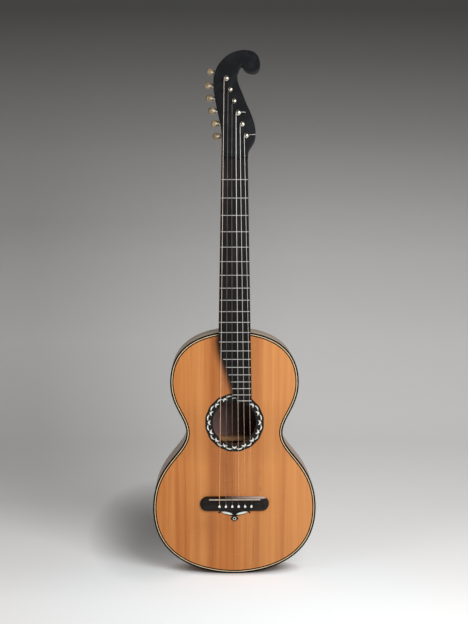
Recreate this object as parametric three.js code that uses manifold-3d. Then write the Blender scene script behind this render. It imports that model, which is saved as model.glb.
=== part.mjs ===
// Parlour guitar of the Viennese pattern: spruce top, rosewood body, black neck with a scroll head,
// six worm tuners on the bass side and a fingerboard that floats over the top.
// X runs to the treble side, Y from the front to the back, Z from the tail up the neck.
// The origin is the tail end of the body, on the centre line, in the face of the soundboard.

import * as THREE from "three";
import { mergeVertices } from "three/addons/utils/BufferGeometryUtils.js";
import Module from "manifold-3d";

const wasm = await Module();
wasm.setup();

// Clearances. All lengths are in millimetres.
const seam = 0.1; // glue line between seated pieces
const running = 0.3; // round a piece that turns
const overrun = 3; // how far a cut runs past a face

// Scale and body outline. Each station of the outline has its own half width and place.
const scaleLength = 610;
const saddleZ = 140;
const bodyLength = 446;
const lowerBoutHalf = 148.2;
const lowerBoutZ = 122.5;
const waistHalf = 87;
const waistDrop = 185; // below the heel
const upperBoutHalf = 116;
const upperBoutDrop = 93;
const tailDepth = 82; // rib height at the tail
const neckEndDepth = 68; // rib height at the heel
const backArch = 7;

// Plates, ribs and what lies inside.
const topThickness = 2.6;
const inlayDepth = 1.2; // purfling and rosette lie this deep in the top
const backThickness = 3;
const backEndHalf = 8; // the back is cut straight this far from the centre line at both ends
const ribThickness = 2.2;
const bindingWidth = 2.3;
const bindingDepth = 3.2;
const purflingWidth = 2.3;
const liningWidth = 5.5;
const liningDepth = 11;
const blockHalf = 32;
const neckBlockLength = 24;
const tailBlockLength = 13;
const braceWidth = 8;
const braceDepth = 13;
const braceEndDepth = 5;
const topBraceDrops = [48, 102, 234]; // below the heel
const topTailBraceZ = 70;
const backBraceDrops = [94, 209];
const backTailBraceZ = 96;

// Soundhole and its ring.
const holeDrop = 166; // below the heel
const holeRadius = 39.3;
const ringRadius = 52.8;

// Fingerboard, frets and nut.
const boardUnder = 3.8; // height of the board's underside over the top
const boardThickness = 4.4;
const boardHalfAtNut = 23.4;
const boardHalfAtBody = 28.6;
const boardPastFret = 3.85; // from the last fret to the board's end
const boardStepLength = 9.5; // the board's end is narrower for this length
const boardStepX = 3.6;
const cutStartDrop = 14; // where the bass side leaves the straight edge, below the heel
const cutEndRise = 21.5; // where the sweep ends, above the board's end
const cutEndX = -4.5;
const fretCount = 21;
const fretWidth = 2;
const fretCrown = 0.8;
const fretHeight = 0.9;
const fretTang = 0.6;
const fretInset = 0.6;
const nutThickness = 4.4;
const nutProud = 2.1; // above the board
const nutSlotLift = 1.5; // the string's underside above the board

// Neck and heel.
const neckUnderAtNut = 13.5; // back of the neck behind the top's plane
const neckUnderAtBody = 17;
const heelUnder = 58;
const heelLength = 62;
const throatLength = 26; // where the neck squares up into the head
const screwY = 36;
const screwRadius = 3;
const screwReach = 16; // into the block
const screwHead = 5;
const screwHeadDepth = 13;
const keySquare = 4;
const keyLength = 7;

// Head: a slab that leans back, with a scroll. Its outline is given in shares of its length and width.
const headLean = THREE.MathUtils.degToRad(14);
const headFace = 6; // height of the head's face over the top's plane, at its root
const headThickness = 18;
const headLength = 196;
const headWidth = 84;
const headEdge = 1.3; // bevel all round

// Worm tuners.
const postPitch = 22;
const firstPostX = 20.6; // the treble string's post, nearest the nut
const firstPostS = 36.8;
const rowTilt = THREE.MathUtils.degToRad(18.4);
const tuners = 6;
const shaftTilts = [-16.5, -6, -2.6, 0.4, 3.6, 6.1].map(THREE.MathUtils.degToRad);
const wheelTeeth = 14;
const wormPitch = 2.83; // one thread start, so one turn moves the wheel by one tooth
const wormOuter = 3.7;
const wormRoot = 2.3;
const wormTurns = 2.5;
const threadCrest = 0.65;
const threadFoot = 1.3;
const wheelOuter = 6.85;
const wheelRoot = 5.25;
const toothCrest = 0.8;
const toothFoot = 1.65;
const wheelThickness = 3.6;
const wheelDepth = 12.5; // middle of the wheel behind the head's face
const gearDistance = 9.3; // between the axes of worm and post
const shaftRadius = 1.9;
const shaftEnd = 4; // journal past the worm
const collarRadius = 3.4;
const collarThickness = 1.3;
const postRadius = 3.1;
const postHeight = 12.5;
const postCapRadius = 3.9;
const postCapThickness = 1.6;
const postHole = 0.8;
const postHoleDrop = 9.6; // below this much of the post's height
const postFootRadius = 2.4;
const plateHalf = 11.5;
const plateThickness = 1.4;
const platePoint = 5;
const knobLength = 14;
const knobRadius = 6.6;
const knobFlat = 0.86; // the turned knob is dressed a little flat
const knobBore = 2.3;
const knobSeat = 4.5; // how far the shaft reaches into the knob

// Bridge, saddle and pins.
const bridgeHalf = 62.5;
const bridgeAbove = 4.4; // from the saddle to the bridge's upper edge
const bridgeBelow = 22.5;
const bridgeHeight = 9;
const deckHeight = 6.2;
const bridgeEdge = 3.5;
const wingStart = 47;
const ridgeAbove = 2.7;
const ridgeBelow = 3.4;
const deckStart = 6;
const deckEnd = 18;
const saddleHalf = 46.5;
const saddleThickness = 2.6;
const saddleTop = 13.4;
const saddleSeat = 4;
const pinDrop = 12.6; // from the saddle to the pins
const pinRadius = 2.6;
const pinTip = 2.2;
const pinHeadRadius = 3.9;
const pinHeadHeight = 3.4;
const pinLength = 15;
const pinHole = 3.05;
const fluteHalf = 0.8;
const fluteFloor = 1.2;
const ornamentHalf = 29;
const ornamentDrop = 20;

// Strings, from bass to treble.
const stringDiameters = [1.1, 0.9, 0.76, 1, 0.82, 0.7];
const nutSpan = 38;
const nutShift = -1.2; // the strings stand a little to the bass side of the nut
const pinSpan = 58;
const pinShift = 1.6;
const windingTurns = 2.5;
const windingGap = 0.55; // free space between two turns
const windingHeight = 8.2; // first turn above the head's face
const windingSteps = 12;
const stringSides = 6;
const stringTuck = 1.9; // string centre from the pin's axis

// Places that follow from the sizes above.
const nutZ = saddleZ + scaleLength;
const holeZ = bodyLength - holeDrop;
const waistZ = bodyLength - waistDrop;
const upperBoutZ = bodyLength - upperBoutDrop;
const topBraceZs = [...topBraceDrops.map((drop) => bodyLength - drop), topTailBraceZ];
const backBraceZs = [...backBraceDrops.map((drop) => bodyLength - drop), backTailBraceZ];
const boardEndZ = fretZ(fretCount) - boardPastFret;
const boardStepZ = boardEndZ + boardStepLength;
const cutStartZ = bodyLength - cutStartDrop;
const cutEndZ = boardEndZ + cutEndRise;
const boardTop = boardUnder + boardThickness;
const headRootZ = nutZ + nutThickness + (headFace - boardUnder) * Math.tan(headLean) + running;
const pinZ = saddleZ - pinDrop;
const toothPitch = (2 * Math.PI) / wheelTeeth;

// Sides of round pieces.
const smallSides = 8;
const turnedSides = 10;
const wheelSides = 12;

const wood = {
  spruce: new THREE.MeshStandardMaterial({ color: 0xc98a52, roughness: 0.38, metalness: 0 }),
  rosewood: new THREE.MeshStandardMaterial({ color: 0x4a2c24, roughness: 0.32, metalness: 0 }),
  black: new THREE.MeshStandardMaterial({ color: 0x26272a, roughness: 0.42, metalness: 0 }),
  ebony: new THREE.MeshStandardMaterial({ color: 0x2b2624, roughness: 0.5, metalness: 0 }),
  inner: new THREE.MeshStandardMaterial({ color: 0xb98f63, roughness: 0.8, metalness: 0 }),
  holly: new THREE.MeshStandardMaterial({ color: 0xe2d2ac, roughness: 0.5, metalness: 0 }),
};
const bone = new THREE.MeshStandardMaterial({ color: 0xd6c49b, roughness: 0.4, metalness: 0 });
const pearl = new THREE.MeshStandardMaterial({ color: 0xe4e4dc, roughness: 0.25, metalness: 0 });
const steel = new THREE.MeshStandardMaterial({ color: 0xc4c3be, roughness: 0.28, metalness: 1 });
const brass = new THREE.MeshStandardMaterial({ color: 0xb59a5c, roughness: 0.34, metalness: 1 });
const silver = new THREE.MeshStandardMaterial({ color: 0xbdb6aa, roughness: 0.35, metalness: 1 });
const gut = new THREE.MeshStandardMaterial({ color: 0xddd6c2, roughness: 0.4, metalness: 0 });

// A closed geometry without its collapsed faces, ready to be cut or joined.
function closed(geometry) {
  const bare = geometry.index ? geometry.toNonIndexed() : geometry.clone();
  bare.deleteAttribute("normal");
  bare.deleteAttribute("uv");
  const merged = mergeVertices(bare, 1e-4);
  const index = merged.index.array;
  const kept = [];
  for (let i = 0; i < index.length; i += 3) {
    const [a, b, c] = [index[i], index[i + 1], index[i + 2]];
    if (a !== b && b !== c && a !== c) kept.push(a, b, c);
  }
  merged.setIndex(kept);
  return merged;
}

function solid(geometry) {
  const g = closed(geometry);
  return new wasm.Manifold(
    new wasm.Mesh({
      numProp: 3,
      vertProperties: g.attributes.position.array,
      triVerts: new Uint32Array(g.index.array),
    }),
  );
}

function geometryOf(made) {
  const m = made.getMesh();
  const places = new Float32Array(m.numVert * 3);
  for (let i = 0; i < m.numVert; i++) {
    places.set(m.vertProperties.subarray(i * m.numProp, i * m.numProp + 3), i * 3);
  }
  const g = new THREE.BufferGeometry();
  g.setAttribute("position", new THREE.BufferAttribute(places, 3));
  g.setIndex([...m.triVerts]);
  return g;
}

function cut(geometry, ...tools) {
  return geometryOf(tools.reduce((rest, tool) => rest.subtract(solid(tool)), solid(geometry)));
}

function join(first, ...others) {
  return geometryOf(others.reduce((sum, other) => sum.add(solid(other)), solid(first)));
}

function common(first, ...others) {
  return geometryOf(others.reduce((rest, other) => rest.intersect(solid(other)), solid(first)));
}

// Moves each vertex of a geometry by a rule.
function reshape(geometry, rule) {
  const p = geometry.attributes.position;
  const v = new THREE.Vector3();
  for (let i = 0; i < p.count; i++) {
    v.fromBufferAttribute(p, i);
    rule(v);
    p.setXYZ(i, v.x, v.y, v.z);
  }
  return geometry;
}

function shapeOf(points) {
  const ring = THREE.ShapeUtils.isClockWise(points) ? [...points].reverse() : points;
  return new THREE.Shape(ring);
}

// A plate whose outline is drawn in X and Z and whose faces lie at two places in Y.
function plate(shape, front, back, options = {}) {
  const g = new THREE.ExtrudeGeometry(shape, {
    depth: back - front,
    bevelEnabled: false,
    curveSegments: 8,
    ...options,
  });
  g.rotateX(Math.PI / 2);
  g.translate(0, back, 0);
  return g;
}

// A bar along X whose section is drawn in Z (across) and in height over the top (out to the front).
function barAlongX(section, left, right) {
  const g = new THREE.ExtrudeGeometry(shapeOf(section.map(([z, h]) => new THREE.Vector2(z, h))), {
    depth: right - left,
    bevelEnabled: false,
  });
  return reshape(g, (v) => v.set(left + v.z, -v.y, v.x));
}

function roundBar(radius, length, sides) {
  return new THREE.CylinderGeometry(radius, radius, length, sides);
}

// A skin over rings of points, each ring closed and the ends filled. All rings have as many points.
function loft(rings) {
  const count = rings[0].length;
  const faces = [];
  for (let n = 0; n < rings.length - 1; n++) {
    for (let k = 0; k < count; k++) {
      const [a, b] = [n * count + k, n * count + ((k + 1) % count)];
      faces.push(a, b, a + count, b, b + count, a + count);
    }
  }
  const top = (rings.length - 1) * count;
  for (let k = 1; k < count - 1; k++) faces.push(0, k + 1, k, top, top + k, top + k + 1);
  const g = new THREE.BufferGeometry().setFromPoints(rings.flat());
  g.setIndex(faces);
  return g;
}

function named(name, geometry, material) {
  const mesh = new THREE.Mesh(geometry, material);
  mesh.name = name;
  return mesh;
}

// Body outline

// Half of the outline from the tail to the heel, as four curves through the widest and narrowest places.
// The shares say how far each curve holds its direction.
function outlineCurves() {
  const shares = { tail: [0.147, 0.957], below: [0.586, 0.27], above: [0.3, 0.477], shoulder: [0.9, 0.272] };
  const at = (x, z) => new THREE.Vector2(x, z);
  const rise = waistZ - lowerBoutZ;
  const climb = upperBoutZ - waistZ;
  const crown = bodyLength - upperBoutZ;
  return [
    new THREE.CubicBezierCurve(
      at(0, 0),
      at(lowerBoutHalf * shares.tail[0], 0),
      at(lowerBoutHalf, lowerBoutZ * (1 - shares.tail[1])),
      at(lowerBoutHalf, lowerBoutZ),
    ),
    new THREE.CubicBezierCurve(
      at(lowerBoutHalf, lowerBoutZ),
      at(lowerBoutHalf, lowerBoutZ + rise * shares.below[0]),
      at(waistHalf, waistZ - rise * shares.below[1]),
      at(waistHalf, waistZ),
    ),
    new THREE.CubicBezierCurve(
      at(waistHalf, waistZ),
      at(waistHalf, waistZ + climb * shares.above[0]),
      at(upperBoutHalf, upperBoutZ - climb * shares.above[1]),
      at(upperBoutHalf, upperBoutZ),
    ),
    new THREE.CubicBezierCurve(
      at(upperBoutHalf, upperBoutZ),
      at(upperBoutHalf, upperBoutZ + crown * shares.shoulder[0]),
      at(upperBoutHalf * shares.shoulder[1], bodyLength),
      at(0, bodyLength),
    ),
  ];
}

const outlineSteps = [12, 8, 6, 9];
const halfOutline = outlineCurves().flatMap((curve, i, all) => {
  const points = curve.getSpacedPoints(outlineSteps[i]);
  return i < all.length - 1 ? points.slice(0, -1) : points;
});

// The half outline moved inwards, square to itself.
function insetHalf(inset) {
  return halfOutline.map((p, i) => {
    const before = halfOutline[Math.max(i - 1, 0)];
    const after = halfOutline[Math.min(i + 1, halfOutline.length - 1)];
    const along = new THREE.Vector2().subVectors(after, before).normalize();
    if (i === 0) return new THREE.Vector2(0, p.y + inset);
    if (i === halfOutline.length - 1) return new THREE.Vector2(0, p.y - inset);
    return new THREE.Vector2(p.x - along.y * inset, p.y + along.x * inset);
  });
}

function mirrored(points) {
  return points.map((p) => new THREE.Vector2(-p.x, p.y));
}

function fullOutline(inset) {
  const half = insetHalf(inset);
  return [...half, ...mirrored(half.slice(1, -1)).reverse()];
}

// The part of a half outline that lies at least so far from the centre line.
function beyond(points, least) {
  const kept = [];
  points.forEach((p, i) => {
    const next = points[i + 1];
    if (p.x >= least) kept.push(p);
    if (next && (p.x - least) * (next.x - least) < 0) {
      kept.push(p.clone().lerp(next, (least - p.x) / (next.x - p.x)));
    }
  });
  return kept;
}

function halfWidthAt(z, inset) {
  const points = insetHalf(inset);
  const i = points.findIndex((p) => p.y >= z);
  const [low, high] = [points[Math.max(i - 1, 0)], points[Math.max(i, 1)]];
  return THREE.MathUtils.mapLinear(z, low.y, high.y, low.x, high.x);
}

// Where the ribs end at the back. They are lower at the heel than at the tail.
function ribEnd(z) {
  return THREE.MathUtils.lerp(tailDepth, neckEndDepth, z / bodyLength);
}

// The inner face of the arched back. Across runs from -1 to 1.
function backInner(across, z) {
  const along = 2 * (z / bodyLength) - 1;
  return ribEnd(z) + backArch * (1 - across * across) * (1 - along ** 4);
}

function ringPlate(outerInset, innerInset, front, back) {
  const shape = shapeOf(fullOutline(outerInset));
  shape.holes.push(new THREE.Path(fullOutline(innerInset)));
  return plate(shape, front, back);
}

function circle(radius, x, z, steps = 36) {
  return new THREE.Path(
    Array.from({ length: steps }, (_, i) => {
      const a = (2 * Math.PI * i) / steps;
      return new THREE.Vector2(x + radius * Math.cos(a), z + radius * Math.sin(a));
    }),
  );
}

// The soundboard has a step for the purfling all round, and another for the ring round the hole.
function soundboard() {
  const face = shapeOf(fullOutline(bindingWidth + purflingWidth + seam));
  face.holes.push(circle(ringRadius + seam, 0, holeZ));
  const under = shapeOf(fullOutline(bindingWidth + seam));
  under.holes.push(circle(holeRadius, 0, holeZ));
  const board = join(plate(face, 0, inlayDepth), plate(under, inlayDepth, topThickness));
  return cut(board, ...pinPlaces().map((x) => pinBore(x)));
}

function rosette() {
  const ring = new THREE.Shape(circle(ringRadius, 0, holeZ).getPoints());
  ring.holes.push(circle(holeRadius, 0, holeZ));
  return plate(ring, 0, inlayDepth - seam);
}

// One rib: a bent strip from the tail to the heel, cut to the slope of the back.
function rib(side) {
  const outer = beyond(insetHalf(0), seam);
  const inner = beyond(insetHalf(ribThickness), seam);
  const strip = [...outer, ...inner.reverse()];
  const shape = shapeOf(side < 0 ? mirrored(strip) : strip);
  const g = plate(shape, 0, 1);
  reshape(g, (v) => {
    v.y = THREE.MathUtils.lerp(bindingDepth + seam, ribEnd(v.z) - seam, v.y);
  });
  return cut(g, screwBore());
}

// The linings widen the ribs' edges, so that the plates have something to be glued to.
function lining(side, atBack) {
  const outer = beyond(insetHalf(bindingWidth + running), blockHalf + running);
  const inner = beyond(insetHalf(bindingWidth + liningWidth), blockHalf + running);
  const strip = [...outer, ...inner.reverse()];
  const shape = shapeOf(side < 0 ? mirrored(strip) : strip);
  return reshape(plate(shape, 0, 1), (v) => {
    const edge = atBack ? ribEnd(v.z) - running : topThickness + running;
    const free = atBack ? edge - liningDepth : edge + liningDepth;
    v.y = THREE.MathUtils.lerp(Math.min(edge, free), Math.max(edge, free), v.y);
  });
}

// The back is a plate arched from side to side and from end to end.
function back() {
  const edge = beyond(insetHalf(bindingWidth + seam), backEndHalf);
  const columns = 6;
  const g = new THREE.BoxGeometry(2, 1, 1, columns, 1, edge.length - 1);
  return closed(
    reshape(g, (v) => {
      const p = edge[Math.round((v.z + 0.5) * (edge.length - 1))];
      const across = v.x;
      const outside = v.y > 0 ? backThickness : 0;
      v.set(across * p.x, backInner(across, p.y) + outside, p.y);
    }),
  );
}

function backBinding() {
  const g = ringPlate(0, bindingWidth, 0, 1);
  return reshape(g, (v) => {
    v.y = ribEnd(v.z) + v.y * backThickness;
  });
}

function endBlock(atNeck) {
  const against = insetHalf(ribThickness + seam);
  const end = against.filter((p) => p.x < blockHalf && (atNeck ? p.y > waistZ : p.y < waistZ));
  const level = atNeck ? bodyLength - ribThickness - neckBlockLength : ribThickness + tailBlockLength;
  const corner = new THREE.Vector2(blockHalf, atNeck ? outlineEndZ(against, true) : outlineEndZ(against, false));
  const right = atNeck ? [corner, ...end] : [...end, corner];
  const left = mirrored(right.filter((p) => p.x > 0)).reverse();
  const inner = [new THREE.Vector2(-blockHalf, level), new THREE.Vector2(blockHalf, level)];
  const outline = atNeck ? [...right, ...left, ...inner] : [...left, ...right, ...inner.reverse()];
  const g = reshape(plate(shapeOf(outline), 0, 1), (v) => {
    v.y = THREE.MathUtils.lerp(topThickness + seam, ribEnd(v.z) - seam, v.y);
  });
  return atNeck ? cut(g, screwBore()) : g;
}

// Where an inset outline crosses the side of the end block.
function outlineEndZ(points, atNeck) {
  const order = atNeck ? [...points].reverse() : points;
  const i = order.findIndex((p) => p.x >= blockHalf);
  const [a, b] = [order[i - 1], order[i]];
  return THREE.MathUtils.mapLinear(blockHalf, a.x, b.x, a.y, b.y);
}

// A brace reaches from lining to lining, also where the body narrows beside it.
function braceHalf(z) {
  const edges = [z - braceWidth / 2, z, z + braceWidth / 2];
  return Math.min(...edges.map((e) => halfWidthAt(e, bindingWidth + liningWidth + 2 * running)));
}

// Cross braces of the top: upright bars with lowered ends.
function topBrace(z) {
  const half = braceHalf(z);
  const root = topThickness + running;
  const taperShare = 0.16;
  const profile = [
    [-half, root],
    [half, root],
    [half, root + braceEndDepth],
    [half * (1 - taperShare), root + braceDepth],
    [-half * (1 - taperShare), root + braceDepth],
    [-half, root + braceEndDepth],
  ];
  const g = new THREE.ExtrudeGeometry(shapeOf(profile.map(([x, y]) => new THREE.Vector2(x, y))), {
    depth: braceWidth,
    bevelEnabled: false,
  });
  g.translate(0, 0, z - braceWidth / 2);
  return g;
}

// Cross braces of the back follow its arch.
function backBrace(z) {
  const half = braceHalf(z);
  const g = new THREE.BoxGeometry(2, 1, braceWidth, 6, 1, 1);
  return reshape(g, (v) => {
    const across = v.x;
    const wall = halfWidthAt(z + v.z, bindingWidth + seam);
    const seated = backInner((across * half) / wall, z + v.z) - running;
    const depth = THREE.MathUtils.lerp(braceDepth, braceEndDepth, across ** 6);
    v.set(across * half, v.y > 0 ? seated : seated - depth, z + v.z);
  });
}

// Neck, fingerboard and nut

function boardHalfAt(z) {
  return THREE.MathUtils.mapLinear(z, nutZ, bodyLength, boardHalfAtNut, boardHalfAtBody);
}

// The bass edge of the board: straight along the neck, then a long sweep towards the middle.
function bassEdge() {
  const bendShares = [0.27, 0.2];
  const drop = cutStartZ - cutEndZ;
  const sweep = new THREE.CubicBezierCurve(
    new THREE.Vector2(-boardHalfAt(cutStartZ), cutStartZ),
    new THREE.Vector2(-boardHalfAt(cutStartZ), cutStartZ - drop * bendShares[0]),
    new THREE.Vector2(cutEndX, cutEndZ + drop * bendShares[1]),
    new THREE.Vector2(cutEndX, cutEndZ),
  );
  return [
    new THREE.Vector2(-boardHalfAt(nutZ), nutZ),
    ...sweep.getSpacedPoints(10),
    new THREE.Vector2(cutEndX, boardStepZ),
  ];
}

function bassEdgeAt(z) {
  const edge = bassEdge();
  if (z < boardStepZ) return boardStepX;
  const i = edge.findIndex((p) => p.y <= z);
  const [a, b] = [edge[Math.max(i - 1, 0)], edge[Math.max(i, 1)]];
  return THREE.MathUtils.mapLinear(z, a.y, b.y, a.x, b.x);
}

function fretZ(n) {
  return nutZ - scaleLength * (1 - 2 ** (-n / 12));
}

// Each fret is a crowned bar let into the board.
function fret(n) {
  const z = fretZ(n);
  const section = [
    [z - fretWidth / 2, boardTop - fretTang],
    [z + fretWidth / 2, boardTop - fretTang],
    [z + fretWidth / 2, boardTop],
    [z + fretCrown / 2, boardTop + fretHeight],
    [z - fretCrown / 2, boardTop + fretHeight],
    [z - fretWidth / 2, boardTop],
  ];
  return barAlongX(section, bassEdgeAt(z) + fretInset, boardHalfAt(z) - fretInset);
}

function fingerboard() {
  const outline = [
    ...bassEdge(),
    new THREE.Vector2(boardStepX, boardStepZ),
    new THREE.Vector2(boardStepX, boardEndZ),
    new THREE.Vector2(boardHalfAt(boardEndZ), boardEndZ),
    new THREE.Vector2(boardHalfAt(nutZ), nutZ),
  ];
  const board = plate(shapeOf(outline), -boardTop, -boardUnder);
  return join(board, ...Array.from({ length: fretCount }, (_, i) => fret(i + 1)));
}

function nut() {
  const top = boardTop + nutProud;
  const height = top - boardUnder - seam;
  const block = new THREE.BoxGeometry(2 * boardHalfAtNut, height, nutThickness);
  block.translate(0, height / 2 - top, nutZ + seam + nutThickness / 2);
  const slots = stringDiameters.map((d, i) => {
    const slot = roundBar(d / 2 + seam, nutThickness + 2 * overrun, 8);
    slot.rotateX(Math.PI / 2);
    const lift = boardTop + nutSlotLift + d / 2;
    const open = new THREE.BoxGeometry(d + 2 * seam, nutProud, nutThickness + 2 * overrun);
    open.translate(0, -nutProud / 2, 0);
    return join(slot, open).translate(nutX(i), -lift, nutZ + nutThickness / 2);
  });
  return cut(block, ...slots);
}

// The neck is lofted: the heel, the shaft and the squared throat that carries the head.
function neck() {
  const sides = 12;
  const heelShares = [
    [0, 1],
    [0.07, 0.88],
    [0.16, 0.68],
    [0.27, 0.44],
    [0.42, 0.22],
    [0.62, 0.08],
    [1, 0],
  ];
  const under = (z) => THREE.MathUtils.mapLinear(z, bodyLength, nutZ, neckUnderAtBody, neckUnderAtNut);
  const stations = heelShares.map(([run, fall]) => {
    const z = bodyLength + run * heelLength;
    return { z, half: boardHalfAt(z), low: THREE.MathUtils.lerp(under(z), heelUnder, fall), square: 2 };
  });
  stations[0].z = bodyLength - neckBlockLength / 2;
  const throat = headRootZ - throatLength;
  stations.push({ z: throat, half: boardHalfAt(throat), low: under(throat), square: 2.2 });
  stations.push({ z: headRootZ - throatLength / 2, half: boardHalfAtNut, low: under(nutZ), square: 3 });
  stations.push({ z: headRootZ, half: boardHalfAtNut, low: under(nutZ), square: 6 });
  const last = stations.length - 1;
  const rings = stations.map((at, n) =>
    Array.from({ length: sides + 1 }, (_, k) => {
      const a = (Math.PI * k) / sides;
      const power = 2 / at.square;
      const x = at.half * Math.sign(Math.cos(a)) * Math.abs(Math.cos(a)) ** power;
      const rise = k % sides === 0 ? 0 : Math.sin(a) ** power;
      const y = THREE.MathUtils.lerp(seam - boardUnder, at.low, rise);
      if (n === last) return new THREE.Vector3(x, y, headRootZ - seam - (y + headFace) * Math.tan(headLean));
      return new THREE.Vector3(x, y, at.z);
    }),
  );
  const body = plate(shapeOf(fullOutline(-seam)), -boardTop, tailDepth);
  return cut(loft(rings), body, screwBore(), screwKeyway());
}

function alongZ(geometry, y, fromZ, toZ) {
  return geometry.rotateX(Math.PI / 2).translate(0, y, (fromZ + toZ) / 2);
}

// The neck is drawn to the body by one screw, turned with a key through the heel.
function screwBore() {
  const [from, to] = [bodyLength - ribThickness - screwReach - running, bodyLength + screwHeadDepth];
  return alongZ(roundBar(screwRadius + running, to - from, turnedSides), screwY, from, to);
}

function screwKeyway() {
  const [from, to] = [bodyLength + screwHeadDepth - screwHead - running, bodyLength + heelLength];
  return alongZ(roundBar(screwHead + running, to - from, turnedSides), screwY, from, to);
}

function neckScrew() {
  const seat = bodyLength + screwHeadDepth - screwHead;
  const [from, to] = [bodyLength - ribThickness - screwReach, seat + screwHead / 2];
  const shank = alongZ(roundBar(screwRadius, to - from, turnedSides), screwY, from, to);
  const head = alongZ(roundBar(screwHead, screwHead, turnedSides), screwY, seat, seat + screwHead);
  const key = new THREE.BoxGeometry(keySquare, keySquare, keyLength + seam);
  key.translate(0, screwY, seat + screwHead + keyLength / 2 - seam);
  return join(shank, head, key);
}

// Head

// Outline of the head from its root on the bass side, round the scroll and back on the treble side.
const headShares = [
  [-0.28, -0.02],
  [-0.273, 0.08],
  [-0.268, 0.19],
  [-0.286, 0.3],
  [-0.336, 0.405],
  [-0.388, 0.515],
  [-0.425, 0.615],
  [-0.442, 0.695],
  [-0.425, 0.765],
  [-0.362, 0.84],
  [-0.255, 0.906],
  [-0.1, 0.963],
  [0.085, 0.994],
  [0.27, 1],
  [0.41, 0.984],
  [0.505, 0.945],
  [0.545, 0.89],
  [0.545, 0.842],
  [0.475, 0.802],
  [0.34, 0.8],
  [0.235, 0.822],
  [0.168, 0.86],
  [0.102, 0.823],
  [0.067, 0.768],
  [0.07, 0.72],
  [0.097, 0.675],
  [0.174, 0.59],
  [0.259, 0.495],
  [0.334, 0.42],
  [0.4, 0.34],
  [0.434, 0.28],
  [0.447, 0.225],
  [0.43, 0.165],
  [0.36, 0.11],
  [0.296, 0.06],
  [0.282, -0.02],
];

function headOutline() {
  const points = headShares.map(([x, s]) => new THREE.Vector3(x * headWidth, s * headLength, 0));
  const curve = new THREE.CatmullRomCurve3(points, false, "centripetal");
  return curve.getPoints(2 * (points.length - 1)).map((p) => new THREE.Vector2(p.x, p.y));
}

function postPlace(i) {
  const fromTreble = tuners - 1 - i;
  return new THREE.Vector2(
    firstPostX - fromTreble * postPitch * Math.sin(rowTilt),
    firstPostS + fromTreble * postPitch * Math.cos(rowTilt),
  );
}

// Group i holds tuner i: its origin is on the post's axis in the head's face, its X runs along the
// shaft away from the knob and its Z points across the shaft, to the side of the worm.
function tunerFrame(i) {
  const frame = new THREE.Group();
  const p = postPlace(i);
  frame.position.set(p.x, 0, p.y);
  frame.rotation.y = -shaftTilts[i];
  return frame;
}

// How far the edge of the head lies from the post, along the shaft towards the knob. The collar has
// to clear the edge over its whole width.
function edgeDistance(i) {
  const frame = tunerFrame(i);
  frame.updateMatrixWorld(true);
  const back = frame.matrixWorld.clone().invert();
  const ring = headOutline().map((p) => new THREE.Vector3(p.x, 0, p.y).applyMatrix4(back));
  const crossings = [-collarRadius, 0, collarRadius].map((aside) => {
    const level = gearDistance + aside;
    const hits = ring.flatMap((a, k) => {
      const b = ring[(k + 1) % ring.length];
      if ((a.z - level) * (b.z - level) > 0) return [];
      return [-THREE.MathUtils.mapLinear(level, a.z, b.z, a.x, b.x)];
    });
    return Math.min(...hits.filter((x) => x > 0));
  });
  return Math.max(...crossings);
}

function alongX(geometry, left, right, depth, across) {
  return geometry.rotateZ(Math.PI / 2).translate((left + right) / 2, depth, across);
}

const wormHalf = (wormTurns * wormPitch) / 2 + threadFoot;

// Everything that is hollowed out of the head for one tuner, in the tuner's own frame.
function tunerCuts(i) {
  const bore = roundBar(postRadius + running, wheelDepth + overrun, turnedSides);
  bore.translate(0, (wheelDepth + overrun) / 2 - overrun, 0);
  const top = wheelDepth - wheelThickness / 2 - 2 * running;
  const wheelRoom = roundBar(wheelOuter + 2 * running, headThickness + overrun - top, wheelSides);
  wheelRoom.translate(0, (headThickness + overrun + top) / 2, 0);
  const wormTop = wheelDepth - wormOuter - running;
  const wormRoom = new THREE.BoxGeometry(
    2 * (wormHalf + running),
    headThickness + overrun - wormTop,
    2 * (wormOuter + running),
  );
  wormRoom.translate(0, (headThickness + overrun + wormTop) / 2, gearDistance);
  const [left, right] = [-edgeDistance(i) - 2 * overrun, wormHalf + shaftEnd + 2 * running];
  const shaft = alongX(roundBar(shaftRadius + running, right - left, smallSides), left, right, wheelDepth, gearDistance);
  return [bore, wheelRoom, wormRoom, shaft];
}

function head() {
  const slab = plate(shapeOf(headOutline()), headEdge, headThickness - headEdge, {
    bevelEnabled: true,
    bevelThickness: headEdge,
    bevelSize: headEdge,
    bevelOffset: -headEdge,
    bevelSegments: 1,
  });
  const root = new THREE.BoxGeometry(2 * headWidth, 2 * headThickness, headLength);
  root.translate(0, headThickness / 2, -headLength / 2);
  const tools = [];
  for (let i = 0; i < tuners; i++) {
    const frame = tunerFrame(i);
    frame.updateMatrixWorld(true);
    for (const tool of tunerCuts(i)) tools.push(tool.applyMatrix4(frame.matrixWorld));
  }
  return cut(slab, root, ...tools);
}

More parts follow.
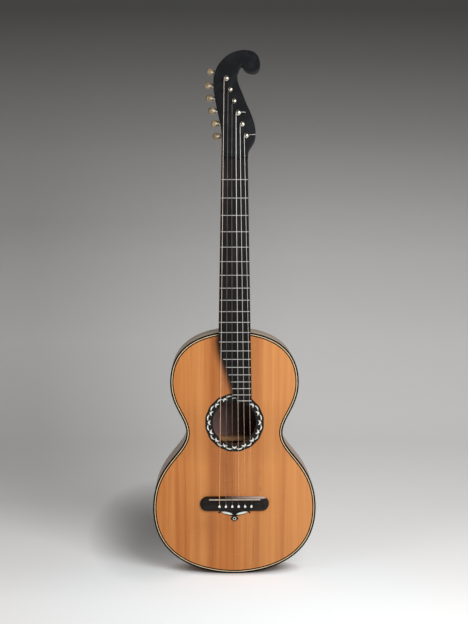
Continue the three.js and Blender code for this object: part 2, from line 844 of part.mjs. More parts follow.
// The plate over the gears runs along the row of posts and ends in two points.
function tunerPlate() {
  const low = postPlace(tuners - 1);
  const high = postPlace(0);
  const along = new THREE.Vector2().subVectors(high, low).normalize();
  const across = new THREE.Vector2(along.y, -along.x);
  const length = low.distanceTo(high);
  const ends = [-plateHalf, length + plateHalf + wormOuter + platePoint];
  const shoulderShare = 0.62;
  const rounded = [
    [ends[0] - platePoint, 0],
    [ends[0], shoulderShare],
    [ends[0] + platePoint, 1],
    [ends[1] - platePoint, 1],
    [ends[1], shoulderShare],
    [ends[1] + platePoint, 0],
  ];
  const ring = [...rounded, ...rounded.slice(1, -1).map(([a, c]) => [a, -c]).reverse()];
  const points = ring.map(([a, c]) =>
    low.clone().addScaledVector(along, a).addScaledVector(across, c * plateHalf),
  );
  return plate(shapeOf(points), headThickness + seam, headThickness + seam + plateThickness);
}

// Tuners

// A screw thread as one ridge that climbs round the X axis. Its middle faces the wheel at rest.
function thread(turns) {
  const steps = Math.round(turns * smallSides);
  const sunkShare = 0.9;
  const sunk = wormRoot * sunkShare;
  const g = new THREE.BoxGeometry(1, 1, 1, steps, 1, 1);
  return reshape(g, (v) => {
    const run = v.x + 0.5;
    const a = 2 * Math.PI * turns * (run - 0.5);
    const outer = v.y > 0;
    const r = outer ? wormOuter : sunk;
    const width = outer ? threadCrest : threadFoot;
    v.set((wormPitch * a) / (2 * Math.PI) - v.z * width, r * Math.sin(a), -r * Math.cos(a));
  });
}

// Shaft, worm and collar are one turned piece. It is drawn on the X axis.
function worm(i) {
  const edge = edgeDistance(i);
  const left = -(edge + running + collarThickness + knobSeat);
  const right = wormHalf + shaftEnd;
  const shaft = alongX(roundBar(shaftRadius, right - left, smallSides), left, right, 0, 0);
  const core = alongX(roundBar(wormRoot, 2 * wormHalf, smallSides), -wormHalf, wormHalf, 0, 0);
  const collarRight = -(edge + running);
  const collar = alongX(
    roundBar(collarRadius, collarThickness, smallSides),
    collarRight - collarThickness,
    collarRight,
    0,
    0,
  );
  return join(shaft, core, thread(wormTurns), collar).translate(0, wheelDepth, gearDistance);
}

// The wheel's teeth lean by the rise of the thread. A gap faces the worm at rest.
function wheel() {
  const ring = [];
  for (let n = 0; n < wheelTeeth; n++) {
    const middle = toothPitch * (n + 0.5) + Math.PI / 2;
    const foot = toothFoot / 2 / wheelRoot;
    const crest = toothCrest / 2 / wheelOuter;
    ring.push([wheelRoot, middle - foot], [wheelOuter, middle - crest]);
    ring.push([wheelOuter, middle + crest], [wheelRoot, middle + foot]);
  }
  const points = ring.map(([r, a]) => new THREE.Vector2(r * Math.cos(a), r * Math.sin(a)));
  const g = plate(shapeOf(points), -wheelThickness / 2, wheelThickness / 2);
  const pitchRadius = gearDistance - (wormOuter + wormRoot) / 2;
  const lean = wormPitch / (Math.PI * (wormOuter + wormRoot)) / pitchRadius;
  reshape(g, (v) => {
    const turn = new THREE.Vector2(v.x, v.z).rotateAround(new THREE.Vector2(), -lean * v.y);
    v.set(turn.x, v.y, turn.y);
  });
  return g.translate(0, wheelDepth, 0);
}

// Post with its capstan in front of the head, its hole for the string and its wheel behind.
function post() {
  const foot = wheelDepth + wheelThickness / 2 + running;
  const profile = [
    [0, foot],
    [postFootRadius, foot],
    [postFootRadius, wheelDepth - wheelThickness / 2 - running],
    [postRadius, wheelDepth - wheelThickness / 2 - running],
    [postRadius, -postHeight + 2 * postCapThickness],
    [postCapRadius, -postHeight + postCapThickness],
    [postCapRadius, -postHeight + postCapThickness / 2],
    [postRadius, -postHeight],
    [0, -postHeight],
  ];
  const g = new THREE.LatheGeometry(
    profile.map(([r, y]) => new THREE.Vector2(r, y)).reverse(),
    smallSides,
  );
  const hole = alongX(roundBar(postHole, 4 * postRadius, 6), -postRadius, postRadius, postHoleDrop - postHeight, 0);
  return cut(join(closed(g), wheel()), hole);
}

// Turned bone knob: a neck by the collar, a full belly and a domed end.
function knob(i) {
  const profileShares = [
    [0, 0],
    [0.62, 0],
    [0.72, 0.06],
    [0.8, 0.2],
    [0.98, 0.42],
    [1, 0.58],
    [0.88, 0.8],
    [0.55, 0.95],
    [0, 1],
  ];
  const g = new THREE.LatheGeometry(
    profileShares.map(([r, run]) => new THREE.Vector2(r * knobRadius, run * knobLength)),
    turnedSides,
  );
  g.rotateZ(Math.PI / 2).scale(1, knobFlat, 1);
  const start = -(edgeDistance(i) + running + collarThickness + seam);
  g.translate(start, 0, 0);
  const depth = knobSeat + running;
  const bore = alongX(roundBar(knobBore, depth + overrun, smallSides), start - depth, start + overrun, 0, 0);
  return cut(closed(g), bore).translate(0, wheelDepth, gearDistance);
}

// Bridge

function pinPlaces() {
  return Array.from({ length: tuners }, (_, i) => pinX(i));
}

function pinX(i) {
  return pinShift - pinSpan / 2 + (pinSpan * i) / (tuners - 1);
}

function nutX(i) {
  return nutShift - nutSpan / 2 + (nutSpan * i) / (tuners - 1);
}

function pinBore(x) {
  const length = bridgeHeight + topThickness + 2 * overrun;
  return roundBar(pinHole, length, turnedSides).translate(x, topThickness + overrun - length / 2, pinZ);
}

// The bridge is what three outlines have in common: its plan, its section and its end view.
function bridge() {
  const radius = (bridgeAbove + bridgeBelow) / 2;
  const middle = saddleZ + bridgeAbove - radius;
  const plan = new THREE.Shape();
  plan.absarc(bridgeHalf - radius, middle, radius, -Math.PI / 2, Math.PI / 2, false);
  plan.absarc(radius - bridgeHalf, middle, radius, Math.PI / 2, (3 * Math.PI) / 2, false);
  const body = plate(plan, -bridgeHeight, -seam, { curveSegments: 10 });
  const section = barAlongX(
    [
      [saddleZ + bridgeAbove, 0],
      [saddleZ + bridgeAbove, deckHeight],
      [saddleZ + ridgeAbove, bridgeHeight],
      [saddleZ - ridgeBelow, bridgeHeight],
      [saddleZ - deckStart, deckHeight],
      [saddleZ - deckEnd, deckHeight],
      [saddleZ - bridgeBelow, bridgeEdge],
      [saddleZ - bridgeBelow, 0],
    ],
    -bridgeHalf,
    bridgeHalf,
  );
  const endView = shapeOf(
    [
      [-bridgeHalf, 0],
      [bridgeHalf, 0],
      [bridgeHalf, bridgeEdge],
      [wingStart, bridgeHeight],
      [-wingStart, bridgeHeight],
      [-bridgeHalf, bridgeEdge],
    ].map(([x, h]) => new THREE.Vector2(x, -h)),
  );
  const ends = new THREE.ExtrudeGeometry(endView, {
    depth: bridgeAbove + bridgeBelow,
    bevelEnabled: false,
  });
  ends.translate(0, 0, saddleZ - bridgeBelow);
  const slotDepth = bridgeHeight + overrun - saddleSeat + seam;
  const slot = new THREE.BoxGeometry(2 * (saddleHalf + seam), slotDepth, saddleThickness + 2 * seam);
  slot.translate(0, seam - saddleSeat - slotDepth / 2, saddleZ);
  return cut(common(body, section, ends), slot, ...pinPlaces().map((x) => pinBore(x)));
}

function saddle() {
  const half = saddleThickness / 2;
  return barAlongX(
    [
      [saddleZ - half, saddleSeat],
      [saddleZ + half, saddleSeat],
      [saddleZ + half, saddleTop - half],
      [saddleZ + half / 2, saddleTop],
      [saddleZ - half / 2, saddleTop],
      [saddleZ - half, saddleTop - half],
    ],
    -saddleHalf,
    saddleHalf,
  );
}

// Ebony pin with a fluted shank, which holds the string against the wall of its hole.
function pin(x) {
  const base = deckHeight + seam;
  const capShare = 0.55;
  const profile = [
    [0, base - pinLength],
    [pinTip, base - pinLength],
    [pinRadius, base],
    [pinHeadRadius, base],
    [pinHeadRadius, base + pinHeadHeight / 2],
    [pinHeadRadius * capShare, base + pinHeadHeight],
    [0, base + pinHeadHeight],
  ];
  const g = new THREE.LatheGeometry(
    profile.map(([r, h]) => new THREE.Vector2(r, h)),
    smallSides,
  );
  g.rotateX(Math.PI);
  const tall = pinLength + pinHeadHeight + 2 * overrun;
  const flute = new THREE.BoxGeometry(2 * fluteHalf, tall, pinHeadRadius);
  flute.translate(0, tall / 2 - base - pinHeadHeight - overrun, fluteFloor + pinHeadRadius / 2);
  return cut(closed(g), flute).translate(x, 0, pinZ);
}

// Ebony ornament below the bridge: a point between two leaves, with a small flower under it.
function bridgeOrnament() {
  const start = saddleZ - bridgeBelow - seam;
  const sideShares = [
    [0, 0],
    [0.84, 0],
    [0.93, -0.06],
    [1, -0.18],
    [0.97, -0.26],
    [0.86, -0.14],
    [0.64, -0.29],
    [0.4, -0.4],
    [0.14, -0.5],
    [0.2, -0.62],
    [0.24, -0.76],
    [0.14, -0.88],
    [0, -1],
  ];
  const right = sideShares.map(([x, z]) => new THREE.Vector2(x * ornamentHalf, start + z * ornamentDrop));
  const left = mirrored(right.slice(1, -1)).reverse();
  return plate(shapeOf([...right, ...left]), -(inlayDepth - seam), -seam);
}

// Strings

// A route that is followed exactly from one of its points to the next.
class Route extends THREE.Curve {
  constructor(points) {
    super();
    this.points = points;
  }

  getPoint(t) {
    const place = t * (this.points.length - 1);
    const i = Math.min(Math.floor(place + 1e-9), this.points.length - 2);
    return this.points[i].clone().lerp(this.points[i + 1], place - i);
  }

  getTangent(t) {
    const i = Math.round(t * (this.points.length - 1));
    const before = this.points[Math.max(i - 1, 0)];
    const after = this.points[Math.min(i + 1, this.points.length - 1)];
    return after.clone().sub(before).normalize();
  }

  getPointAt(u) {
    return this.getPoint(u);
  }

  getTangentAt(u) {
    return this.getTangent(u);
  }
}

// From the pin over the saddle and the nut to the post, and two and a half turns round it.
function stringRoute(i, headFrame) {
  const r = stringDiameters[i] / 2;
  const hold = pinZ + stringTuck;
  const drop = topThickness + overrun;
  const onSaddle = -(saddleTop + seam + r);
  const onNut = -(boardTop + nutSlotLift + r);
  const route = [
    new THREE.Vector3(pinX(i), drop, hold),
    new THREE.Vector3(pinX(i), drop - 4 * r, hold),
    new THREE.Vector3(pinX(i), r - deckHeight + 2 * seam, hold),
    new THREE.Vector3(pinX(i), -deckHeight - r, hold + r),
    new THREE.Vector3(pinX(i), onSaddle + r / 4, saddleZ - saddleThickness / 2),
    new THREE.Vector3(pinX(i), onSaddle, saddleZ + saddleThickness / 2),
    new THREE.Vector3(nutX(i), onNut, nutZ),
    new THREE.Vector3(nutX(i), onNut + r / 8, nutZ + nutThickness),
  ];
  const centre = postPlace(i);
  const wrap = postRadius + running + r;
  const fall = 2 * r + windingGap;
  const last = Math.round(windingTurns * windingSteps);
  const turns = [];
  for (let k = 0; k <= last; k++) {
    const turn = k / windingSteps;
    const a = Math.PI - 2 * Math.PI * turn;
    const depth = fall * turn - windingHeight;
    turns.push(new THREE.Vector3(centre.x + wrap * Math.cos(a), depth, centre.y + wrap * Math.sin(a)));
  }
  const end = turns[last].clone().sub(turns[last - 1]).normalize();
  turns.push(turns[last].clone().addScaledVector(end, 2 * r));
  turns.forEach((p) => p.applyMatrix4(headFrame.matrixWorld));
  return [...route, ...turns];
}

// The least free space between parts of one string that don't follow each other.
function leastGap(points, diameter) {
  let least = Infinity;
  points.forEach((p, i) => {
    for (let k = i + Math.round(windingSteps / 2); k < points.length; k++) {
      least = Math.min(least, p.distanceTo(points[k]) - diameter);
    }
  });
  return least;
}

function string(i, headFrame) {
  const points = stringRoute(i, headFrame);
  const r = stringDiameters[i] / 2;
  const gap = leastGap(points, 2 * r);
  console.log(`string ${i + 1}: least gap between its turns ${gap.toFixed(2)} mm`);
  const section = new THREE.Shape(
    Array.from({ length: stringSides }, (_, k) => {
      const a = (2 * Math.PI * k) / stringSides;
      return new THREE.Vector2(r * Math.cos(a), r * Math.sin(a));
    }),
  );
  return new THREE.ExtrudeGeometry(section, {
    steps: points.length - 1,
    extrudePath: new Route(points),
  });
}

// Assembly

const guitar = new THREE.Group();

const body = new THREE.Group();
body.add(named("soundboard", soundboard(), wood.spruce));
body.add(named("rosette", rosette(), wood.black));
body.add(named("top_binding", ringPlate(0, bindingWidth, 0, bindingDepth), wood.black));
body.add(
  named(
    "top_purfling",
    ringPlate(bindingWidth + seam, bindingWidth + purflingWidth, 0, inlayDepth - seam),
    wood.holly,
  ),
);
body.add(named("rib_bass", rib(-1), wood.rosewood));
body.add(named("rib_treble", rib(1), wood.rosewood));
body.add(named("back", back(), wood.rosewood));
body.add(named("back_binding", backBinding(), wood.black));
body.add(named("neck_block", endBlock(true), wood.inner));
body.add(named("tail_block", endBlock(false), wood.inner));
body.add(named("top_lining_bass", lining(-1, false), wood.inner));
body.add(named("top_lining_treble", lining(1, false), wood.inner));
body.add(named("back_lining_bass", lining(-1, true), wood.inner));
body.add(named("back_lining_treble", lining(1, true), wood.inner));
topBraceZs.forEach((z, i) => body.add(named(`top_brace_${i + 1}`, topBrace(z), wood.inner)));
backBraceZs.forEach((z, i) => body.add(named(`back_brace_${i + 1}`, backBrace(z), wood.inner)));
body.add(named("bridge", bridge(), wood.ebony));
body.add(named("bridge_ornament", bridgeOrnament(), pearl));
body.add(named("saddle", saddle(), bone));
pinPlaces().forEach((x, i) => body.add(named(`bridge_pin_${i + 1}`, pin(x), wood.ebony)));
guitar.add(body);

const neckGroup = new THREE.Group();
neckGroup.add(named("neck", neck(), wood.black));
neckGroup.add(named("neck_screw", neckScrew(), steel));
neckGroup.add(named("fingerboard", fingerboard(), wood.ebony));
neckGroup.add(named("nut", nut(), wood.ebony));
guitar.add(neckGroup);

const headGroup = new THREE.Group();
headGroup.position.set(0, -headFace, headRootZ);
headGroup.rotation.x = -headLean;
headGroup.add(named("head", head(), wood.black));
headGroup.add(named("tuner_plate", tunerPlate(), brass));
for (let i = 0; i < tuners; i++) {
  const frame = tunerFrame(i);
  frame.add(named(`tuner_post_${i + 1}`, post(), steel));
  frame.add(named(`tuner_worm_${i + 1}`, worm(i), steel));
  frame.add(named(`tuner_knob_${i + 1}`, knob(i), bone));
  headGroup.add(frame);
}
guitar.add(headGroup);
guitar.updateMatrixWorld(true);

for (let i = 0; i < tuners; i++) {
  guitar.add(named(`string_${i + 1}`, string(i, headGroup), i < tuners / 2 ? silver : gut));
}

export default guitar;
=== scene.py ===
import math

import bmesh
import bpy
import numpy as np
from mathutils import Matrix, Vector


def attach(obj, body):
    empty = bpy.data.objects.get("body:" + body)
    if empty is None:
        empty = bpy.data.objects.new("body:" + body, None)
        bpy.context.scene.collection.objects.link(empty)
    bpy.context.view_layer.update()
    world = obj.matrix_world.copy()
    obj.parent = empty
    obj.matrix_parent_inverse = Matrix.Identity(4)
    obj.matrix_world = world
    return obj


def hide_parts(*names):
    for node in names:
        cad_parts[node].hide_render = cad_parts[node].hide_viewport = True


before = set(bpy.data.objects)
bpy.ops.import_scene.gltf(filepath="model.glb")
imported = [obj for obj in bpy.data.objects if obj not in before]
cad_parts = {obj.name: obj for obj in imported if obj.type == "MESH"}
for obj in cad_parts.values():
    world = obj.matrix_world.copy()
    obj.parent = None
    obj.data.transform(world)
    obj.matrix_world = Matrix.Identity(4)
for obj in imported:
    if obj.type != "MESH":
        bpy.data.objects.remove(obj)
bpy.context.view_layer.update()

# Camera: as high as the second fret, a little to the left, and looking down on the guitar by 6.5
# degrees. Its shift is only what the framing needs.
def placed(name, data):
    """A new object in the scene."""
    made = bpy.data.objects.new(name, data)
    bpy.context.scene.collection.objects.link(made)
    return made


def aimed(place, along):
    """The place of something that looks along a line."""
    return Matrix.Translation(place) @ Vector(along).to_track_quat("-Z", "Y").to_matrix().to_4x4()


CAMERA_PLACE = (-0.03905, -2.1855, 0.68495)
VIEW_RIGHT, VIEW_DOWN = math.radians(1), math.radians(6.5)
camera = placed("camera", bpy.data.cameras.new("camera"))
camera.data.sensor_fit, camera.data.sensor_height = "VERTICAL", 36
camera.data.lens, camera.data.shift_y, camera.data.clip_end = 70.8, 0.04, 20
looking = (math.sin(VIEW_RIGHT), math.cos(VIEW_RIGHT), -math.tan(VIEW_DOWN))
camera.matrix_world = aimed(CAMERA_PLACE, looking)
bpy.context.scene.camera = camera
bpy.context.scene.view_settings.view_transform = "Standard"


# Soundboard: two book-matched halves of spruce, glued on the centre line and varnished amber. The
# ring round the hole and the lines along the edge are let into its face.
def operator(operation, reflected=False):
    """A method of Wire that adds one Math node."""
    if reflected:
        return lambda wire, other: wire.math(operation, other, wire)
    return lambda wire, *others: wire.math(operation, wire, *others)


class Wire:
    """A node's output. Arithmetic on wires adds Math nodes to their tree."""

    __add__ = __radd__ = operator("ADD")
    __sub__, __rsub__ = operator("SUBTRACT"), operator("SUBTRACT", reflected=True)
    __mul__ = __rmul__ = operator("MULTIPLY")
    __truediv__, __pow__ = operator("DIVIDE"), operator("POWER")
    __lt__, __gt__ = operator("LESS_THAN"), operator("GREATER_THAN")
    __abs__ = operator("ABSOLUTE")

    def __init__(self, nodes, socket):
        self.nodes, self.socket = nodes, socket

    def math(self, operation, *values):
        return self.nodes.add("ShaderNodeMath", {"operation": operation}, dict(enumerate(values)))

    def clamped(self):
        return self.math("MINIMUM", self.math("MAXIMUM", self, 0.0), 1.0)

    def near(self, middle, reach):
        """1 at the middle, and down to 0 at a reach from it."""
        return (1 - abs(self - middle) / reach).clamped()

    def mix(self, low, high):
        """A colour between two colours, by this value."""
        return self.nodes.add("ShaderNodeMix", {"data_type": "RGBA"}, {0: self, 6: low, 7: high}, 2)

    def output(self, name):
        """Another output of the same node."""
        return Wire(self.nodes, self.socket.node.outputs[name])


class Nodes:
    """The nodes of a finish or of a shape. add() sets a node's settings first, then its sockets."""

    def __init__(self, tree):
        self.tree = tree

    def add(self, kind, settings=None, sockets=None, out=0):
        node = self.tree.nodes.new(kind)
        for name, value in (settings or {}).items():
            if name == "stops":
                while len(node.color_ramp.elements) < len(value):
                    node.color_ramp.elements.new(0.5)
                for stop, (place, colour) in zip(node.color_ramp.elements, value):
                    stop.position, stop.color = place, colour
            else:
                setattr(node, name, value)
        for name, value in (sockets or {}).items():
            if isinstance(value, Wire):
                self.tree.links.new(value.socket, node.inputs[name])
            else:
                node.inputs[name].default_value = value
        return Wire(self, node.outputs[out]) if node.outputs else None

    def spot(self):
        """A point's X, Y and Z on its piece."""
        x = self.add("ShaderNodeSeparateXYZ", {}, {0: self.add("ShaderNodeTexCoord", {}, {}, "Object")})
        return x, x.output("Y"), x.output("Z")

    def noise(self, scale, detail=3.0, rough=0.6, warp=0.0, shift=(0, 0, 0), of=None):
        """Noise on the piece's own coordinates, with one scale or with one along each axis."""
        scale = scale if isinstance(scale, tuple) else (scale,) * 3
        place = of or self.add("ShaderNodeTexCoord", {}, {}, "Object")
        place = self.add("ShaderNodeMapping", {}, {0: place, 1: shift, 3: scale})
        settings = {0: place, "Scale": 1.0, "Detail": detail, "Roughness": rough, "Distortion": warp}
        return self.add("ShaderNodeTexNoise", {}, settings)

    def ramp(self, value, *stops):
        return self.add("ShaderNodeValToRGB", {"stops": stops}, {0: value})

    def tones(self, value, *stops):
        """A ramp whose stops are a place and a colour on a screen."""
        return self.ramp(value, *[(place, tone(*colour)) for place, *colour in stops])

    def bump(self, height, strength, distance):
        sockets = {"Height": height, "Strength": strength, "Distance": distance}
        return self.add("ShaderNodeBump", {}, sockets)


def tone(*screen):
    """A colour from its red, green and blue on a screen, 0 to 255."""
    return (*[c / 3294.6 if c < 10.3 else ((c / 255 + 0.055) / 1.055) ** 2.4 for c in screen], 1.0)


def surface(colour, roughness, relief, specular=0.5, **others):
    """A shader's sockets. The others are named as the sockets are, in small letters."""
    others = {name.replace("_", " ").title(): value for name, value in others.items()}
    others["Specular IOR Level"] = specular
    return {"Base Color": colour, "Roughness": roughness, "Normal": relief, **others}


def finish(name, look):
    """A material whose shader sockets are what look(nodes) returns."""
    material = bpy.data.materials.new(name)
    material.use_nodes = True
    material.node_tree.nodes.clear()
    n = Nodes(material.node_tree)
    shader = n.add("ShaderNodeBsdfPrincipled", {}, look(n))
    n.add("ShaderNodeOutputMaterial", {}, {0: shader})
    return material


def bezier(a, b, c, d, steps):
    t = np.linspace(0, 1, steps + 1)[:, None]
    a, b, c, d = map(np.array, (a, b, c, d))
    return a * (1 - t) ** 3 + 3 * b * t * (1 - t) ** 2 + 3 * c * t * t * (1 - t) + d * t**3


# Lengths are written in millimetres, and a mesh is brought to metres when it is made. HOLE is how far
# up the body the middle of the soundhole is.
TO_METRES = Matrix.Scale(0.001, 4)
BODY_LENGTH, HOLE = 446, 280
TAIL, LOWER, WAIST, UPPER, HEEL = (0, 0), (148.2, 122.5), (87, 261), (116, 353), (0, BODY_LENGTH)


def half_outline(inset=0.0):
    """The treble half of the body's outline in X and Z, from tail to heel, moved inwards."""
    half = np.vstack([
        bezier(TAIL, (21.8, 0), (148.2, 5.3), LOWER, 44)[:-1],
        bezier(LOWER, (148.2, 203.7), (87, 223.6), WAIST, 30)[:-1],
        bezier(WAIST, (87, 288.6), (116, 309.1), UPPER, 26)[:-1],
        bezier(UPPER, (116, 436.7), (31.6, BODY_LENGTH), HEEL, 40),
    ])
    along = np.gradient(half, axis=0)
    along /= np.linalg.norm(along, axis=1)[:, None]
    return half + np.stack([-along[:, 1], along[:, 0]], 1) * inset


def outline(inset):
    """The whole outline, moved inwards, as a loop that runs up the treble side."""
    half = half_outline(inset)
    half[0], half[-1] = (0, inset), (0, BODY_LENGTH - inset)
    return np.vstack([half, half[-2:0:-1] * (-1, 1)])


def circle(radius, steps=128, middle=(0, HOLE)):
    a = np.linspace(0, 2 * np.pi, steps, endpoint=False)
    return np.stack([middle[0] + radius * np.cos(a), middle[1] + radius * np.sin(a)], 1)


def creased(mesh, angle, flat=None):
    """Smooth shading, but sharp at edges over an angle and round faces that look along flat."""
    b = bmesh.new()
    b.from_mesh(mesh)
    bmesh.ops.remove_doubles(b, verts=b.verts, dist=1e-6)
    bmesh.ops.dissolve_degenerate(b, edges=b.edges, dist=1e-6)
    bmesh.ops.recalc_face_normals(b, faces=b.faces)
    level = lambda face: flat is not None and abs(face.normal.dot(flat)) > 0.9995
    for face in b.faces:
        face.smooth = not level(face)
    for edge in b.edges:
        if len(edge.link_faces) == 2:
            one, two = edge.link_faces
            edge.smooth = edge.calc_face_angle(0) < math.radians(angle) and level(one) == level(two)
    b.to_mesh(mesh)
    b.free()
    return mesh


def mesh_of(name, points, faces, angle=35, place=Matrix.Identity(4)):
    mesh = bpy.data.meshes.new(name)
    mesh.from_pydata([tuple(p) for p in points], [], faces)
    creased(mesh, angle)
    mesh.transform(TO_METRES @ place)
    return mesh


def skin(rings, ends=True):
    """Points and faces of a skin over closed rings of points, each run on to the next."""
    rings = [np.asarray(ring, float) for ring in rings]
    size = len(rings[0])
    faces = []
    for start in range(0, (len(rings) - 1) * size, size):
        for k in range(size):
            a, b = start + k, start + (k + 1) % size
            faces.append((a, b, b + size, a + size))
    if ends:
        faces += [tuple(range(size))[::-1], tuple(range((len(rings) - 1) * size, len(rings) * size))]
    return np.vstack(rings), faces


def spin(degrees, axis):
    return Matrix.Rotation(math.radians(degrees), 4, axis)


def slab(name, loops, front, back, bevel=0.0, rounds=3, place=Matrix.Identity(4)):
    """A plate between two places in Y, cut to loops of (x, z) points. The first loop is its edge."""
    curve = bpy.data.curves.new(name, "CURVE")
    curve.dimensions, curve.fill_mode = "2D", "BOTH"
    for number, loop in enumerate(loops):
        loop = np.asarray(loop, float)
        turn = np.sum(loop[:, 0] * np.roll(loop[:, 1], -1) - loop[:, 1] * np.roll(loop[:, 0], -1))
        if (turn > 0) == (number > 0):
            loop = loop[::-1]
        spline = curve.splines.new("POLY")
        spline.points.add(len(loop) - 1)
        spline.points.foreach_set("co", np.c_[loop, np.zeros(len(loop)), np.ones(len(loop))].ravel())
        spline.use_cyclic_u = True
    curve.extrude = (back - front) / 2 - bevel
    curve.bevel_depth, curve.offset, curve.bevel_resolution = bevel, -bevel, rounds
    holder = bpy.data.objects.new(name, curve)
    mesh = bpy.data.meshes.new_from_object(holder)
    bpy.data.objects.remove(holder)
    mesh.name = name
    creased(mesh, 35, Vector((0, 0, 1)))
    upright = Matrix.Translation((0, (front + back) / 2, 0)) @ spin(90, "X")
    mesh.transform(TO_METRES @ place @ upright)
    return mesh


def together(name, *meshes):
    """Several meshes as one."""
    b = bmesh.new()
    for mesh in meshes:
        b.from_mesh(mesh)
    whole = bpy.data.meshes.new(name)
    b.to_mesh(whole)
    b.free()
    return whole


def piece(name, mesh, material, slot, *stands_for, body="guitar_body"):
    """Puts a finished mesh in the scene as one piece that rides on a body."""
    mesh.materials.clear()
    mesh.materials.append(material)
    for face in mesh.polygons:
        face.material_index = 0
    made = placed(name, mesh)
    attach(made, body)
    if stands_for:
        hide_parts(*stands_for)


def spruce_look(n):
    side, deep, up = n.spot()
    wander = (n.noise((2, 2, 6), 2, 0.5) - 0.5) * 0.008
    across = abs(side) + wander
    matched = n.add("ShaderNodeCombineXYZ", {}, {0: across, 1: deep, 2: up})
    broad = n.noise((26, 8, 1.1), 2, 0.5, of=matched)
    streak = n.noise((120, 8, 2.2), 3, 0.6, 0.3)
    ring = n.noise((900, 20, 5), 2, 0.7)
    silk = n.noise((60, 10, 240))
    pores = n.noise((1800, 30, 60), 2, 0.5)
    base = n.tones(
        (broad * 0.5 + streak * 0.5 - 0.5) * 3.0 + 0.5,
        (0.1, 182, 104, 47),
        (0.42, 202, 124, 60),
        (0.62, 209, 133, 68),
        (0.95, 222, 149, 82),
    )
    dark_growth, pale_growth = across.near(0.041, 0.011), across.near(0.056, 0.014)
    handled = side.near(-0.02, 0.034) * up.near(0.2, 0.075)
    # Painted shade: the lower left of the top is painted darker, furthest from the light at the upper
    # right.
    shade_low_left = side.near(-0.045, 0.06) * up.near(0.09, 0.05)
    waist = (1 - ((up - 0.262) / 0.062) ** 2).clamped()
    middle = (1 - (side / 0.11) ** 2).clamped()
    # Painted shadow: beside the floating board's bass edge the top is painted dark brown, where the board's
    # shadow falls.
    sweep = ((up - 0.339) / 0.093).clamped()
    board_side = -0.0045 - 0.0241 * (sweep * sweep * (3 - 2 * sweep))
    board_shadow_reach = (1 - (board_side - side) / 0.0165).clamped() * ((0.024 - side) * 150).clamped()
    board_shadow = board_shadow_reach * ((up - 0.335) * 40).clamped() * ((0.446 - up) * 60).clamped()
    late = ((ring - 0.52) * 4).clamped()
    flecks = ((silk - 0.55) * 3).clamped()
    marks = [(0.0475, 0.157, 0.007, 0.55), (0.0465, 0.188, 0.008, 0.3)]
    marks += [(-0.0389, 0.045, 0.04, 0.3), (0.0344, 0.048, 0.045, 0.34)]
    marks = [side.near(x, 0.0016) * up.near(z, long) * much for x, z, long, much in marks]
    for where, colour in (
        (dark_growth * (0.3 + streak * 0.4), (166, 92, 44)),
        (pale_growth * (streak * 0.65), (228, 156, 90)),
        (handled * 0.62, (166, 92, 46)),
        (shade_low_left * 0.35, (160, 88, 42)),
        (waist * 0.26, (150, 82, 36)),
        (middle * 0.2, (172, 100, 48)),
        # Painted light: the right edge of the top is painted lighter, towards the light at the right.
        (((side - 0.05) * 3.2).clamped(), (240, 172, 110)),
        # painted shadow of the board
        (board_shadow * 0.9, (88, 45, 21)),
        (late * 0.26, (164, 90, 40)),
        (flecks * 0.16, (236, 178, 118)),
        # Painted sheen: the right half is painted a little lighter, as its grain catches the light from the
        # right.
        ((side > 0) * 0.12, (244, 176, 112)),
        *[(mark, (70, 52, 34)) for mark in marks],
        ((abs(side) < 0.00025) * 0.35, (120, 66, 34)),
    ):
        base = where.mix(base, tone(*colour))
    return surface(
        base,
        0.34 + broad * 0.1 + late * 0.06,
        n.bump(ring * 0.6 + pores * 0.4, 0.16, 0.0002),
        specular=0.3, coat_weight=0.06, coat_roughness=0.2,
    )


INLAYS, RING_RADIUS, RING_SWELL = 16, 53.1, 0.4
HOLE_RADIUS, FACE_DEPTH, TOP_DEPTH = 39.3, 1.2, 2.6


def ring_edge(grow=0.0):
    """The outer edge of the ring, which swells a little round each crescent."""
    a = np.linspace(0, 2 * np.pi, 320, endpoint=False)
    r = RING_RADIUS + grow + RING_SWELL * np.cos(INLAYS * (a + np.pi / 2 + np.pi / INLAYS))
    return np.stack([r * np.cos(a), HOLE + r * np.sin(a)], 1)


spruce = finish("spruce", spruce_look)
face_plate = slab("face", [outline(6.2), ring_edge(grow=0.1)], 0, FACE_DEPTH)
under_plate = slab("under", [outline(2.4), circle(HOLE_RADIUS)], FACE_DEPTH, TOP_DEPTH)
piece("soundboard_front", together("soundboard", face_plate, under_plate), spruce, "spruce", "soundboard")


# Edge of the body: a black strip with a rounded corner, then a pale line of holly and a thin dark
# line. Each is bent round the outline and glued in a step. The back has the black strip too.
def shape(name, make, **sizes):
    """A tree of geometry nodes. make(n, given) returns its geometry, which then gets its finish."""
    tree = bpy.data.node_groups.new(name, "GeometryNodeTree")
    for size, kind in {"Base": "Geometry", **sizes, "Finish": "Material"}.items():
        tree.interface.new_socket(size, in_out="INPUT", socket_type="NodeSocket" + kind)
    tree.interface.new_socket("Shape", in_out="OUTPUT", socket_type="NodeSocketGeometry")
    n = Nodes(tree)
    given = n.add("NodeGroupInput")
    made = n.add("GeometryNodeRealizeInstances", {}, {0: make(n, given)})
    made = n.add("GeometryNodeSetMaterial", {}, {0: made, 2: given.output("Finish")})
    n.add("NodeGroupOutput", {}, {0: made})
    return tree


def worked(holder):
    """An object's mesh with its modifiers worked in."""
    return bpy.data.meshes.new_from_object(holder.evaluated_get(bpy.context.evaluated_depsgraph_get()))


